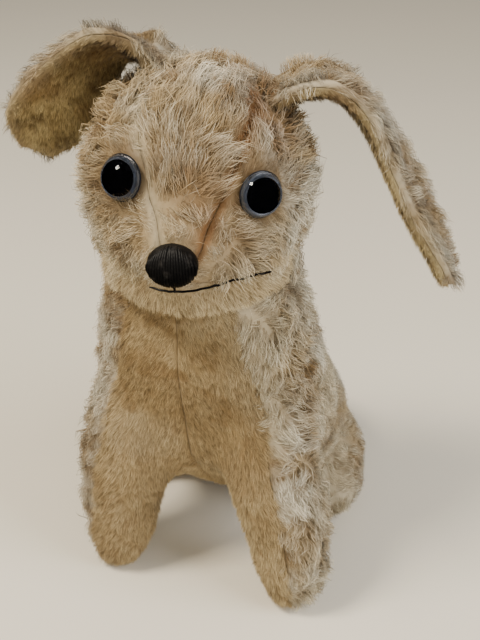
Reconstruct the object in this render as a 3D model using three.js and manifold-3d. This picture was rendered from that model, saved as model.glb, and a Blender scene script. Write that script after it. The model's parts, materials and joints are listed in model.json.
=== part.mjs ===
// A seated plush dog, sewn from long mohair and short plush over a packed filling. Its head turns
// on a disc joint in the neck, and its ears and tail flop at their sewn roots.
// Millimetres, +Z up. The dog faces -Y and its left side is at +X.
import * as THREE from 'three';
import { mergeVertices } from 'three/addons/utils/BufferGeometryUtils.js';
import Module from 'manifold-3d';

const wasm = await Module();
wasm.setup();

// Cloth and clearances
const CLOTH = 2.6; // thickness of the sewn cloth with its pile pressed flat
const SEAM = 0.35; // gap along a seam between two panels
const GAP = 0.3; // gap between two pieces that rest on each other
const LEAF_GAP = 0.8; // gap between an ear's two leaves, which twist
const EAR_ROOM = 2.0; // room under an ear's root, so that it can flop
const TAIL_ROOM = 0.8; // room between the tail's round root and the rump

// Trunk and legs
const NECK_HEIGHT = 144; // floor to the seam between trunk and head
const NECK_Y = -24; // the neck's axis, ahead of the middle of the trunk
const HEAD_TURN = 13; // degrees that the head is turned to its left at rest
const TRUNK_HALF_WIDTH = 49;
const TRUNK_HALF_DEPTH = 41;
const TRUNK_REACH = 92; // how far the rump lies behind the middle of the chest
const CHEST_SEAM_TOP = 15; // half the width of the plush chest at the neck
const CHEST_SEAM_FOOT = 44; // the same at the feet
const PAW_SPREAD = 40; // middle of a front foot from the centre plane
const PAW_Y = -35;
const PAW_SHIFT = 3; // the front feet stand a little to the left of the centre plane
const LEG_RADIUS = 19;
const SHOULDER_SPREAD = 25;
const SHOULDER_HEIGHT = 92;
const HAUNCH_HEIGHT = 38;
const HAUNCH_Y = 40;
const HAUNCH_HALF_LENGTH = 30;
const HAUNCH_HALF_WIDTH = 18;
const HAUNCH_SPREAD = 40;
const HIND_FOOT_RADIUS = 14;
const HIND_FOOT_SPREAD = 47;
const HIND_FOOT_TOE = 9; // y of the hind foot's toe
const BELLY_HALF_WIDTH = 25;

// Tail
const TAIL_LENGTH = 34;
const TAIL_RADIUS = 8.5;
const TAIL_HEIGHT = 22; // height of the tail's root

// Neck joint
const DISC_RADIUS = 25;
const DISC_PACKING = 1.1; // filling between the disc's edge and the cloth round the neck
const NECK_TAPER = 0.82; // how far the rounded end of the trunk has narrowed at the disc
const DISC_THICKNESS = 2.5;
const WASHER_RADIUS = 9;
const WASHER_THICKNESS = 1.2;
const PIN_RADIUS = 1.6;
const PIN_EYE_RADIUS = 4.5;

// Head, in a frame of its own on the neck seam
const HEAD_HALF_WIDTH = 41;
const HEAD_HALF_DEPTH = 38;
const HEAD_RISE = 37; // neck seam to the middle of the skull
const CROWN = 42; // middle of the skull to its crown
const JAW_RADIUS = (DISC_RADIUS + CLOTH + DISC_PACKING) / NECK_TAPER; // where the head is gathered in
const MUZZLE_REACH = 10; // how far the muzzle stands out of the round of the head
const MUZZLE_DROP = 16; // degrees that it points below level
const MUZZLE_WIDTH = 27; // degrees, as seen from the middle of the skull
const NOSE_TURN = -3; // degrees that the nose sits off the centre plane
const EYE_RADIUS = 8;
const PUPIL_RADIUS = 4.9;
const EYE_DOME = 6.2;
const EYE_TURN = { left: 38, right: 32 }; // degrees round from the front
const EYE_LIFT = { left: 9, right: 16 }; // degrees above level
const NOSE_HALF_WIDTH = 9;
const NOSE_HALF_HEIGHT = 7;
const NOSE_DEPTH = 4;
const THREAD_RADIUS = 0.8;
const MOUTH_DROP = 27; // degrees below level at the middle of the mouth

const MIDDLE = 500; // half the side of a block that is larger than the dog
const UNDER = -20; // a level under everything that an outline cuts

const FINISHES = {
  mohair: { color: '#b8a88a', roughness: 0.95, metalness: 0 },
  plush: { color: '#a58a5c', roughness: 0.9, metalness: 0 },
  lining: { color: '#84693a', roughness: 0.9, metalness: 0 },
  stuffing: { color: '#d8cba6', roughness: 1, metalness: 0 },
  thread: { color: '#15130f', roughness: 0.6, metalness: 0 },
  glass: { color: '#dfe6ea', roughness: 0.03, metalness: 0 },
  pupil: { color: '#050506', roughness: 0.1, metalness: 0 },
  enamel: { color: '#6d7480', roughness: 0.25, metalness: 0 },
  steel: { color: '#8c8b88', roughness: 0.4, metalness: 1 },
  fibreboard: { color: '#6b4a30', roughness: 0.85, metalness: 0 },
};

// ---- Joining and cutting ----

/** A closed geometry as a solid that can be joined and cut. */
function solid(geometry) {
  const bare = geometry.clone();
  bare.deleteAttribute('normal');
  bare.deleteAttribute('uv');
  const merged = mergeVertices(bare);
  return new wasm.Manifold(new wasm.Mesh({
    numProp: 3,
    vertProperties: merged.attributes.position.array,
    triVerts: new Uint32Array(merged.index.array),
  }));
}

/** A named mesh of the finished solid, in its finish. */
function piece(name, shape, finish) {
  const { vertProperties, triVerts } = shape.getMesh();
  const geometry = new THREE.BufferGeometry();
  geometry.setAttribute('position', new THREE.BufferAttribute(vertProperties, 3));
  geometry.setIndex(new THREE.BufferAttribute(triVerts, 1));
  const mesh = new THREE.Mesh(geometry.toNonIndexed(), new THREE.MeshStandardMaterial(finish));
  mesh.geometry.computeVertexNormals();
  mesh.name = name;
  return mesh;
}

/** A block between two corners. */
function block(low, high) {
  const size = new THREE.Vector3(...high).sub(new THREE.Vector3(...low));
  const geometry = new THREE.BoxGeometry(size.x, size.y, size.z);
  return solid(geometry.translate(low[0] + size.x / 2, low[1] + size.y / 2, low[2] + size.z / 2));
}

/** Everything on one side of the centre plane, half a seam away from it: side is 1 for left. */
function halfSpace(side) {
  const [near, far] = [SEAM / 2, MIDDLE];
  return side > 0
    ? block([near, -MIDDLE, -MIDDLE], [far, MIDDLE, MIDDLE])
    : block([-far, -MIDDLE, -MIDDLE], [-near, MIDDLE, MIDDLE]);
}

/** An outline drawn in the XZ plane, as seen from the front, run along Y. */
function frontPrism(points, nearY, farY) {
  const outline = new THREE.Shape(points.map(([x, z]) => new THREE.Vector2(x, z)));
  const geometry = new THREE.ExtrudeGeometry(outline, { depth: farY - nearY, bevelEnabled: false });
  return solid(geometry.rotateX(Math.PI / 2).translate(0, farY, 0));
}

/** An outline drawn in the YZ plane, as seen from the side, run along X over a full width. */
function sidePrism(points, width) {
  const outline = new THREE.Shape(points.map(([y, z]) => new THREE.Vector2(y, z)));
  const geometry = new THREE.ExtrudeGeometry(outline, { depth: width, bevelEnabled: false });
  geometry.rotateX(Math.PI / 2).rotateZ(Math.PI / 2);
  return solid(geometry.translate(-width / 2, 0, 0));
}

/** An upright cylinder between two heights. */
function post(radius, low, high, around = 20) {
  const geometry = new THREE.CylinderGeometry(radius, radius, high - low, around);
  return solid(geometry.rotateX(Math.PI / 2).translate(0, 0, (low + high) / 2));
}

/** A solid turned about Z from an outline of [radius, height] points that starts and ends on Z. */
function turned(points, around = 16) {
  const outline = points.map(([radius, height]) => new THREE.Vector2(radius, height));
  return solid(new THREE.LatheGeometry(outline, around).rotateX(Math.PI / 2));
}

// ---- Soft shapes ----

/** A closed surface whose points are place(direction), for directions spread over a unit ball. */
function ballShape(place, around, along) {
  const geometry = new THREE.SphereGeometry(1, around, along).rotateX(Math.PI / 2);
  const points = geometry.attributes.position;
  const direction = new THREE.Vector3();
  for (let i = 0; i < points.count; i += 1) {
    direction.fromBufferAttribute(points, i).normalize();
    const spot = place(direction);
    points.setXYZ(i, spot.x, spot.y, spot.z);
  }
  return solid(geometry);
}

/** A value read between evenly spaced ones, smoothly. */
function blended(values, t) {
  const line = new THREE.CatmullRomCurve3(values.map((v) => new THREE.Vector3(v, 0, 0)));
  return line.getPoint(THREE.MathUtils.clamp(t, 0, 1)).x;
}

/**
 * A sausage along a curved spine. Each station has its middle, its half width across X and its
 * half depth, and fullness says how blunt the two ends are. offset moves the whole surface out.
 */
function sausage({ stations, fullness, around, along }, offset) {
  const spine = new THREE.CatmullRomCurve3(stations.map(({ at }) => new THREE.Vector3(...at)));
  const widths = stations.map(({ halfWidth }) => halfWidth);
  const depths = stations.map(({ halfDepth }) => halfDepth);
  return ballShape((direction) => {
    const t = (1 - direction.z) / 2;
    const end = (1 - Math.abs(direction.z) ** fullness) ** (1 / fullness);
    const angle = Math.atan2(direction.y, direction.x);
    const forward = spine.getTangent(t).negate();
    const wide = new THREE.Vector3(1, 0, 0).addScaledVector(forward, -forward.x).normalize();
    const deep = forward.clone().cross(wide);
    return spine.getPoint(t)
      .addScaledVector(forward, offset * direction.z)
      .addScaledVector(wide, (blended(widths, t) + offset) * end * Math.cos(angle))
      .addScaledVector(deep, (blended(depths, t) + offset) * end * Math.sin(angle));
  }, around, along);
}

/** An egg with its middle at at and a radius along each axis. */
function egg({ at, radii, around, along }, offset) {
  const middle = new THREE.Vector3(...at);
  const reach = new THREE.Vector3(...radii).addScalar(offset);
  return ballShape((direction) => direction.clone().multiply(reach).add(middle), around, along);
}

/** All the solids as one. */
function joined(solids) {
  return solids.reduce((whole, next) => whole.add(next));
}

// ---- Trunk, legs and haunches: one sewn bag ----

const TRUNK = {
  fullness: 4,
  around: 18,
  along: 10,
  stations: [
    { at: [0, NECK_Y, NECK_HEIGHT * 1.14], halfWidth: JAW_RADIUS + 3, halfDepth: JAW_RADIUS },
    { at: [0, NECK_Y * 0.8, NECK_HEIGHT * 0.88], halfWidth: JAW_RADIUS + 9, halfDepth: JAW_RADIUS + 3 },
    { at: [0, -9, NECK_HEIGHT * 0.62], halfWidth: TRUNK_HALF_WIDTH, halfDepth: TRUNK_HALF_DEPTH },
    { at: [0, 12, NECK_HEIGHT * 0.44], halfWidth: TRUNK_HALF_WIDTH, halfDepth: TRUNK_HALF_DEPTH },
    { at: [0, 36, NECK_HEIGHT * 0.3], halfWidth: TRUNK_HALF_WIDTH, halfDepth: TRUNK_HALF_DEPTH },
    { at: [0, 64, TRUNK_HALF_DEPTH - 8], halfWidth: 45, halfDepth: TRUNK_HALF_DEPTH - 3 },
    { at: [0, TRUNK_REACH, TRUNK_HALF_DEPTH - 12], halfWidth: 38, halfDepth: 32 },
  ],
};

/** A front leg: side is 1 for the dog's left. */
function frontLeg(side) {
  const knee = { halfWidth: LEG_RADIUS, halfDepth: LEG_RADIUS };
  const shoulder = { halfWidth: LEG_RADIUS + 2, halfDepth: LEG_RADIUS + 2 };
  const paw = PAW_SHIFT + side * PAW_SPREAD;
  return {
    fullness: 3,
    around: 10,
    along: 7,
    stations: [
      { at: [side * SHOULDER_SPREAD, NECK_Y - 4, SHOULDER_HEIGHT + 14], ...shoulder },
      { at: [PAW_SHIFT / 2 + side * (SHOULDER_SPREAD + 5), PAW_Y + 1, SHOULDER_HEIGHT * 0.7], ...shoulder },
      { at: [paw - side * 4, PAW_Y, 35], ...knee },
      { at: [paw, PAW_Y - 2, -3], ...knee },
    ],
  };
}

/** The thigh that lies against the trunk. */
function haunch(side) {
  return {
    at: [side * HAUNCH_SPREAD, HAUNCH_Y, HAUNCH_HEIGHT / 2],
    radii: [HAUNCH_HALF_WIDTH, HAUNCH_HALF_LENGTH, HAUNCH_HEIGHT / 2 + 1],
    around: 12,
    along: 7,
  };
}

/** The hind foot, which lies along the floor and points forward. */
function hindFoot(side) {
  const size = { halfWidth: HIND_FOOT_RADIUS, halfDepth: HIND_FOOT_RADIUS };
  return {
    fullness: 3,
    around: 10,
    along: 6,
    stations: [
      { at: [side * (HIND_FOOT_SPREAD - 5), HIND_FOOT_TOE + 50, HIND_FOOT_RADIUS - 1], ...size },
      { at: [side * (HIND_FOOT_SPREAD - 1), HIND_FOOT_TOE + 25, HIND_FOOT_RADIUS - 1], ...size },
      { at: [side * HIND_FOOT_SPREAD, HIND_FOOT_TOE, HIND_FOOT_RADIUS - 1], ...size },
    ],
  };
}

/** The whole sewn bag, offset outwards, flat on the floor and closed flat under the neck. */
function bodySolid(offset) {
  const limbs = [1, -1].flatMap((side) => [
    sausage(frontLeg(side), offset),
    egg(haunch(side), offset),
    sausage(hindFoot(side), offset),
  ]);
  const room = block(
    [-MIDDLE, -MIDDLE, -offset],
    [MIDDLE, MIDDLE, NECK_HEIGHT - GAP / 2 + offset],
  );
  return joined([sausage(TRUNK, offset), ...limbs]).intersect(room);
}

const CHEST_SEAM_Y = PAW_Y + LEG_RADIUS + CLOTH * 2; // the plane behind the front legs

/** Where the plush chest and inner legs are, widened by grow. */
function chestRegion(grow) {
  const foot = CHEST_SEAM_FOOT + grow;
  const top = CHEST_SEAM_TOP + grow;
  return frontPrism([
    [-foot, UNDER],
    [foot, UNDER],
    [foot, NECK_HEIGHT * 0.2],
    [(foot + top) / 2 + 3, NECK_HEIGHT * 0.64],
    [top, NECK_HEIGHT - UNDER],
    [-top, NECK_HEIGHT - UNDER],
    [-(foot + top) / 2 - 3, NECK_HEIGHT * 0.64],
    [-foot, NECK_HEIGHT * 0.2],
  ], -MIDDLE, CHEST_SEAM_Y + grow);
}

/** Where the belly panel is, from behind the front legs to under the rump, widened by grow. */
function bellyRegion(grow) {
  const back = TRUNK_REACH - 16 + grow;
  const front = CHEST_SEAM_Y + SEAM - grow;
  return sidePrism([
    [front, UNDER],
    [back, UNDER],
    [back, 12 + grow],
    [40, 22 + grow],
    [12, NECK_HEIGHT * 0.34 + grow],
    [front, NECK_HEIGHT * 0.6 + grow],
  ], 2 * (BELLY_HALF_WIDTH + grow));
}

/** The sewn panels of the trunk and legs. */
function bodyPanels() {
  const shell = bodySolid(0).subtract(bodySolid(-CLOTH)).subtract(atNeck(pinHole()));
  const chest = shell.intersect(chestRegion(0));
  const belly = shell.subtract(chestRegion(SEAM)).intersect(bellyRegion(0));
  const sides = shell.subtract(chestRegion(SEAM)).subtract(bellyRegion(SEAM));
  return [
    piece('chest_panel_left', chest.intersect(halfSpace(1)), FINISHES.plush),
    piece('chest_panel_right', chest.intersect(halfSpace(-1)), FINISHES.plush),
    piece('side_panel_left', sides.intersect(halfSpace(1)), FINISHES.mohair),
    piece('side_panel_right', sides.intersect(halfSpace(-1)), FINISHES.mohair),
    piece('belly_panel', belly, FINISHES.plush),
  ];
}

/** The packed filling, with room for the neck joint's lower half. */
function bodyStuffing() {
  const filling = bodySolid(-CLOTH - GAP).subtract(atNeck(jointRoom(-1)));
  return piece('body_stuffing', filling, FINISHES.stuffing);
}

// ---- Neck joint: two discs and washers drawn together by a split pin ----

const DISC_LOW = CLOTH + GAP / 2 + GAP; // the upper disc's lower face, above the neck seam
const WASHER_LOW = DISC_LOW + DISC_THICKNESS + GAP;
const PIN_SEAT = WASHER_LOW + WASHER_THICKNESS + GAP;
const JOINT_REACH = PIN_SEAT + 2 * PIN_EYE_RADIUS + GAP; // from the seam to beyond the pin's eye

/** Moves a solid made about the neck seam to where the seam is. */
function atNeck(shape) {
  return shape.translate(0, NECK_Y, NECK_HEIGHT);
}

/** A round plate with a hole for the pin, between two heights above the neck seam. */
function plate(radius, low, thickness) {
  return post(radius, low, low + thickness).subtract(pinHole());
}

/** The hole that the pin passes through. */
function pinHole() {
  return post(PIN_RADIUS + GAP, -JOINT_REACH, JOINT_REACH, 12);
}

/** A round wire bent along a smooth line through the points. */
function wire(points, radius, steps) {
  const path = new THREE.CatmullRomCurve3(points.map((point) => new THREE.Vector3(...point)));
  const section = new THREE.Shape().absarc(0, 0, radius, 0, 2 * Math.PI);
  const options = { extrudePath: path, steps, bevelEnabled: false, curveSegments: 6 };
  return solid(new THREE.ExtrudeGeometry(section, options));
}

/** The pin: an eye above the upper washer and two legs curled out below the lower one. */
function splitPin() {
  const bar = 1;
  const ring = new THREE.TorusGeometry(PIN_EYE_RADIUS - bar, bar, 6, 14).rotateX(Math.PI / 2);
  const shaft = post(PIN_RADIUS, -PIN_SEAT - 2, PIN_SEAT + 2, 12);
  const legs = [1, -1].map((side) => wire([
    [side * 0.5, 0, -PIN_SEAT - 1],
    [side * 2, 0, -PIN_SEAT - 4],
    [side * 5, 0, -PIN_SEAT - 4.5],
    [side * 6, 0, -PIN_SEAT - 1.5],
  ], 0.9, 6));
  return joined([shaft, solid(ring).translate(0, 0, PIN_SEAT + PIN_EYE_RADIUS), ...legs]);
}

/** The space that the filling leaves free on one side of the neck seam: side is 1 for above. */
function jointRoom(side) {
  const levels = [
    [DISC_RADIUS + GAP, CLOTH, WASHER_LOW - GAP / 2],
    [WASHER_RADIUS + GAP, CLOTH, PIN_SEAT],
    [PIN_EYE_RADIUS + 3, CLOTH, JOINT_REACH],
  ];
  return joined(levels.map(([radius, near, far]) => {
    const ends = [side * near, side * far];
    return post(radius, Math.min(...ends), Math.max(...ends));
  }));
}

/** The joint's pieces below the seam, which stay with the trunk. */
function lowerJoint() {
  const disc = plate(DISC_RADIUS, -DISC_LOW - DISC_THICKNESS, DISC_THICKNESS);
  const washer = plate(WASHER_RADIUS, -WASHER_LOW - WASHER_THICKNESS, WASHER_THICKNESS);
  return [
    piece('neck_disc_body', atNeck(disc), FINISHES.fibreboard),
    piece('neck_washer_body', atNeck(washer), FINISHES.steel),
  ];
}

/** The joint's pieces above the seam, and the pin, which turn with the head. */
function upperJoint() {
  return [
    piece('neck_disc_head', plate(DISC_RADIUS, DISC_LOW, DISC_THICKNESS), FINISHES.fibreboard),
    piece('neck_washer_head', plate(WASHER_RADIUS, WASHER_LOW, WASHER_THICKNESS), FINISHES.steel),
    piece('neck_split_pin', splitPin(), FINISHES.steel),
  ];
}

// ---- Head: a ball with a muzzle, gathered in at the neck ----

const SKULL = new THREE.Vector3(0, 0, HEAD_RISE);

/** The name of a side of the dog: 1 is its left. */
function sideName(side) {
  return side > 0 ? 'left' : 'right';
}

/** A level direction turned round from the front towards the left, then lifted, in degrees. */
function aim(turn, lift) {
  const [round, up] = [THREE.MathUtils.degToRad(turn), THREE.MathUtils.degToRad(lift)];
  return new THREE.Vector3(
    Math.sin(round) * Math.cos(up),
    -Math.cos(round) * Math.cos(up),
    Math.sin(up),
  );
}

/** How far the head's surface is from the middle of the skull along a direction. */
function headReach(direction) {
  const { x, y, z } = direction;
  const round = 1 / Math.hypot(x / HEAD_HALF_WIDTH, y / HEAD_HALF_DEPTH, z / CROWN);
  const level = Math.max(Math.hypot(x, y), 0.01);
  const jaw = z < 0 ? Math.min(JAW_RADIUS / level, (HEAD_RISE + 4) / -z) : 0;
  const blend = 10;
  const whole = (round ** blend + jaw ** blend) ** (1 / blend);
  const away = THREE.MathUtils.radToDeg(direction.angleTo(aim(NOSE_TURN, -MUZZLE_DROP)));
  return whole + MUZZLE_REACH * Math.exp(-((away / MUZZLE_WIDTH) ** 2));
}

/** The point of the head's surface along a direction, moved out by offset. */
function headPoint(direction, offset = 0) {
  return direction.clone().multiplyScalar(headReach(direction) + offset).add(SKULL);
}

/** The whole head, offset outwards and closed flat above the neck seam. */
function headSolid(offset) {
  const room = block([-MIDDLE, -MIDDLE, GAP / 2 - offset], [MIDDLE, MIDDLE, MIDDLE]);
  return ballShape((direction) => headPoint(direction, offset), 20, 12).intersect(room);
}

/** Degrees from the centre plane to each edge of the gusset, from the nose over to the nape. */
const GUSSET = {
  left: [6, 20, 32, 37, 33, 26, 20, 16],
  right: [6, 17, 27, 32, 30, 24, 20, 16],
};
const NAPE = 250; // degrees over the head from the nose to the nape

/** Where the gusset is: a wheel over the centre plane, with a slice left out under the nose. */
function gussetRegion(grow) {
  const [steps, rim, hub] = [48, 90, 1 + grow];
  const nose = THREE.MathUtils.degToRad(-MUZZLE_DROP);
  const geometry = new THREE.CylinderGeometry(rim, rim, 2, steps).rotateZ(Math.PI / 2);
  const points = geometry.attributes.position;
  for (let i = 0; i < points.count; i += 1) {
    const [side, y, z] = [Math.sign(points.getX(i)), points.getY(i), points.getZ(i)];
    const turn = THREE.MathUtils.radToDeg(Math.atan2(z, -y) - nose);
    const share = (turn < -90 ? turn + 360 : turn) / NAPE;
    const angle = THREE.MathUtils.degToRad(blended(GUSSET[sideName(side)], share));
    points.setX(i, side * (Math.hypot(y, z) < 1 ? hub : rim * Math.tan(angle) + hub));
  }
  const underNose = sidePrism([
    [SKULL.y - grow, SKULL.z - grow],
    [SKULL.y - grow - MIDDLE * Math.cos(nose), SKULL.z - grow + MIDDLE * Math.sin(nose)],
    [SKULL.y - grow - MIDDLE, -MIDDLE],
    [SKULL.y - grow, -MIDDLE],
  ], 2 * MIDDLE);
  return solid(geometry).translate(SKULL.x, SKULL.y, SKULL.z).subtract(underNose);
}

/** Where the chin panel is, under the line of the mouth. */
function chinRegion(grow) {
  const mouth = headPoint(aim(0, -MOUTH_DROP)).z + grow;
  return frontPrism([
    [-MIDDLE, UNDER],
    [MIDDLE, UNDER],
    [HEAD_HALF_WIDTH, mouth + 5],
    [HEAD_HALF_WIDTH / 2, mouth + 1],
    [0, mouth],
    [-HEAD_HALF_WIDTH / 2, mouth + 1],
    [-HEAD_HALF_WIDTH, mouth + 5],
  ], -MIDDLE, grow - 8);
}

/** The sewn panels of the head, dimpled for the eyes. */
function headPanels() {
  const hollow = joined([headSolid(-CLOTH), pinHole(), ...[1, -1].map(eyeRoom)]);
  const skin = headSolid(0).subtract(hollow);
  const chin = skin.intersect(chinRegion(0));
  const rest = skin.subtract(chinRegion(SEAM));
  const sides = rest.subtract(gussetRegion(SEAM));
  return [
    piece('head_gusset', rest.intersect(gussetRegion(0)), FINISHES.mohair),
    piece('head_side_left', sides.intersect(halfSpace(1)), FINISHES.mohair),
    piece('head_side_right', sides.intersect(halfSpace(-1)), FINISHES.mohair),
    piece('chin_panel', chin, FINISHES.plush),
  ];
}

/** The packed filling of the head, with room for the joint and the eyes' wires. */
function headStuffing() {
  const room = joined([jointRoom(1), ...[1, -1].map(eyeRoom)]);
  return piece('head_stuffing', headSolid(-CLOTH - GAP).subtract(room), FINISHES.stuffing);
}

// ---- Eyes: a clear dome over a pupil and an enamelled back, on a wire ----

const EYE_BACK_DEPTH = 1.6;
const IRIS_FRONT = 1.2;
const SHANK_LENGTH = 6;
const SHANK_RADIUS = 0.6;
const SHANK_LOOP = 2.2;

/** Moves a solid made about +Z to where the eye on one side sits, looking out. */
function seated(shape, side) {
  const name = sideName(side);
  const direction = aim(side * EYE_TURN[name], EYE_LIFT[name]);
  const facing = aim(side * EYE_TURN[name] * 0.85, EYE_LIFT[name]);
  const turn = new THREE.Quaternion().setFromUnitVectors(new THREE.Vector3(0, 0, 1), facing);
  const place = new THREE.Matrix4().compose(headPoint(direction), turn, new THREE.Vector3(1, 1, 1));
  return shape.transform(place.elements);
}

/** The eye's shallow back as an outline from the axis to its edge, grown by grow. */
function eyeBackOutline(grow) {
  const radius = EYE_RADIUS + grow;
  const depth = EYE_BACK_DEPTH + grow;
  return [[0, -depth], [radius * 0.55, -depth * 0.8], [radius * 0.9, -depth * 0.3], [radius, 0]];
}

/** What the eye and its wire take out of the cloth and the filling. */
function eyeRoom(side) {
  const dimple = turned([...eyeBackOutline(GAP), [EYE_RADIUS + GAP, 9], [0, 9]]);
  const bore = post(SHANK_RADIUS + 2 * GAP, -EYE_BACK_DEPTH - SHANK_LENGTH, 0, 8);
  const reach = SHANK_LOOP + SHANK_RADIUS + GAP;
  const loop = post(reach, -SHANK_RADIUS - GAP, SHANK_RADIUS + GAP, 16).rotate([90, 0, 0])
    .translate(0, 0, -EYE_BACK_DEPTH - SHANK_LENGTH);
  return seated(joined([dimple, bore, loop]), side);
}

/** The pieces of the eye on one side. */
function eye(side) {
  const name = sideName(side);
  const recess = post(PUPIL_RADIUS + GAP, 0, IRIS_FRONT + 1);
  const back = turned([...eyeBackOutline(0), [EYE_RADIUS, IRIS_FRONT], [0, IRIS_FRONT]]);
  const pupil = post(PUPIL_RADIUS, GAP, IRIS_FRONT);
  const curve = (EYE_RADIUS ** 2 + EYE_DOME ** 2) / (2 * EYE_DOME);
  const rim = Math.asin(EYE_RADIUS / curve);
  const low = IRIS_FRONT + GAP;
  const dome = Array.from({ length: 7 }, (_, i) => {
    const angle = rim * (1 - i / 6);
    return [i === 6 ? 0 : curve * Math.sin(angle), low + curve * (Math.cos(angle) - Math.cos(rim))];
  });
  const ring = solid(new THREE.TorusGeometry(SHANK_LOOP, SHANK_RADIUS, 6, 12).rotateX(Math.PI / 2));
  const stem = post(SHANK_RADIUS, SHANK_LOOP, SHANK_LENGTH - GAP, 8);
  const shank = ring.add(stem).translate(0, 0, -EYE_BACK_DEPTH - SHANK_LENGTH);
  return [
    piece(`eye_glass_${name}`, seated(turned([[0, low], ...dome]), side), FINISHES.glass),
    piece(`eye_pupil_${name}`, seated(pupil, side), FINISHES.pupil),
    piece(`eye_back_${name}`, seated(back.subtract(recess), side), FINISHES.enamel),
    piece(`eye_shank_${name}`, seated(shank, side), FINISHES.steel),
  ];
}

// ---- Nose and mouth, stitched in thick thread ----

/** The pad of stitches over the end of the muzzle. */
function nose() {
  const tip = aim(NOSE_TURN, -MUZZLE_DROP + 2);
  const pad = egg({
    at: headPoint(tip).toArray(),
    radii: [NOSE_HALF_WIDTH, NOSE_DEPTH, NOSE_HALF_HEIGHT],
    around: 14,
    along: 8,
  }, 0);
  return piece('nose_stitches', pad.subtract(headSolid(GAP)), FINISHES.thread);
}

/** The thread along the mouth: it runs on round the left cheek. */
function mouth() {
  const out = GAP * 2 + THREAD_RADIUS;
  const line = [[-14, 1], [-5, 0], [6, 0], [20, -1], [34, -3], [46, -4]];
  const points = line.map(([turn, lift]) => headPoint(aim(turn, lift - MOUTH_DROP), out).toArray());
  return piece('mouth_stitches', wire(points, THREAD_RADIUS, 14).subtract(headSolid(GAP)),
    FINISHES.thread);
}

// ---- Ears: two leaves of cloth sewn together, mohair outside and plush within ----

const LEFT_EAR = [
  { at: [17, 6, 56], across: [0, 1, 0], half: 13 },
  { at: [33, 5, 71], across: [0, 1, 0], half: 15 },
  { at: [45, 5, 71], across: [0, 1, 0], half: 16 },
  { at: [55, 5, 62], across: [0.1, 1, 0], half: 17 },
  { at: [65, 5, 46], across: [0.25, 1, 0], half: 17 },
  { at: [75, 5, 27], across: [0.3, 1, 0], half: 17 },
  { at: [85, 5, 10], across: [0.3, 1, 0], half: 15 },
  { at: [93, 5, -4], across: [0.3, 1, 0], half: 13 },
];

const RIGHT_EAR = [
  { at: [-8, 6, 62], across: [0, 1, 0], half: 13 },
  { at: [-17, 7, 84], across: [0, 1, 0], half: 14 },
  { at: [-28, 9, 82], across: [0.1, 0.85, -0.4], half: 15 },
  { at: [-37, 11, 75], across: [0.25, 0.75, -0.5], half: 16 },
  { at: [-45, 13, 66], across: [0.5, 0.75, -0.4], half: 19 },
  { at: [-53, 15, 55], across: [0.8, 0.6, -0.1], half: 21 },
  { at: [-63, 16, 38], across: [0.97, 0.25, 0], half: 22 },
];

/** A leaf of cloth along the ear's stations, between two heights out from its middle surface. */
function leaf(stations, low, high) {
  const spine = new THREE.CatmullRomCurve3(stations.map(({ at }) => new THREE.Vector3(...at)));
  const turns = new THREE.CatmullRomCurve3(stations.map(({ across }) => new THREE.Vector3(...across)));
  const halves = stations.map(({ half }) => half);
  const geometry = new THREE.BoxGeometry(2, 1, 1, 4, 11, 1);
  const points = geometry.attributes.position;
  for (let i = 0; i < points.count; i += 1) {
    const t = points.getY(i) + 0.5;
    const tangent = spine.getTangent(t);
    const across = turns.getPoint(t).addScaledVector(tangent, -turns.getPoint(t).dot(tangent));
    across.normalize();
    const out = across.clone().cross(tangent).normalize();
    const tip = Math.sqrt(Math.max(1 - t ** 10, 0.1));
    const height = points.getZ(i) > 0 ? high : low;
    const spot = spine.getPoint(t)
      .addScaledVector(across, points.getX(i) * blended(halves, t) * tip)
      .addScaledVector(out, height);
    points.setXYZ(i, spot.x, spot.y, spot.z);
  }
  return solid(geometry);
}

/** Both leaves of one ear. */
function ear(name, stations, outside) {
  const [near, far] = [LEAF_GAP / 2, LEAF_GAP / 2 + CLOTH];
  const outer = outside > 0 ? leaf(stations, near, far) : leaf(stations, -far, -near);
  const inner = outside > 0 ? leaf(stations, -far, -near) : leaf(stations, near, far);
  const head = headSolid(EAR_ROOM);
  return [
    piece(`ear_outer_${name}`, outer.subtract(head), FINISHES.mohair),
    piece(`ear_lining_${name}`, inner.subtract(head), FINISHES.lining),
  ];
}

// ---- Tail ----

const TAIL_START = TRUNK_REACH + TAIL_ROOM;
const TAIL_LIFT = 13; // how far the tip stands above the root

const TAIL = {
  fullness: 2.6,
  around: 12,
  along: 7,
  stations: [
    { at: [0, TAIL_START, TAIL_HEIGHT], halfWidth: TAIL_RADIUS, halfDepth: TAIL_RADIUS },
    {
      at: [0, TAIL_START + TAIL_LENGTH * 0.55, TAIL_HEIGHT + TAIL_LIFT / 4],
      halfWidth: TAIL_RADIUS,
      halfDepth: TAIL_RADIUS,
    },
    { at: [0, TAIL_START + TAIL_LENGTH, TAIL_HEIGHT + TAIL_LIFT], halfWidth: 5, halfDepth: 5 },
  ],
};

/** The tail's two panels and its wisp of filling. */
function tail() {
  const skin = sausage(TAIL, 0).subtract(sausage(TAIL, -CLOTH));
  const upper = block([-MIDDLE, -MIDDLE, TAIL_HEIGHT + SEAM / 2], [MIDDLE, MIDDLE, MIDDLE]);
  const under = block([-MIDDLE, -MIDDLE, -MIDDLE], [MIDDLE, MIDDLE, TAIL_HEIGHT - SEAM / 2]);
  return [
    piece('tail_upper', skin.intersect(upper), FINISHES.mohair),
    piece('tail_under', skin.intersect(under), FINISHES.plush),
    piece('tail_stuffing', sausage(TAIL, -CLOTH - GAP), FINISHES.stuffing),
  ];
}

// ---- The dog ----

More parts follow.
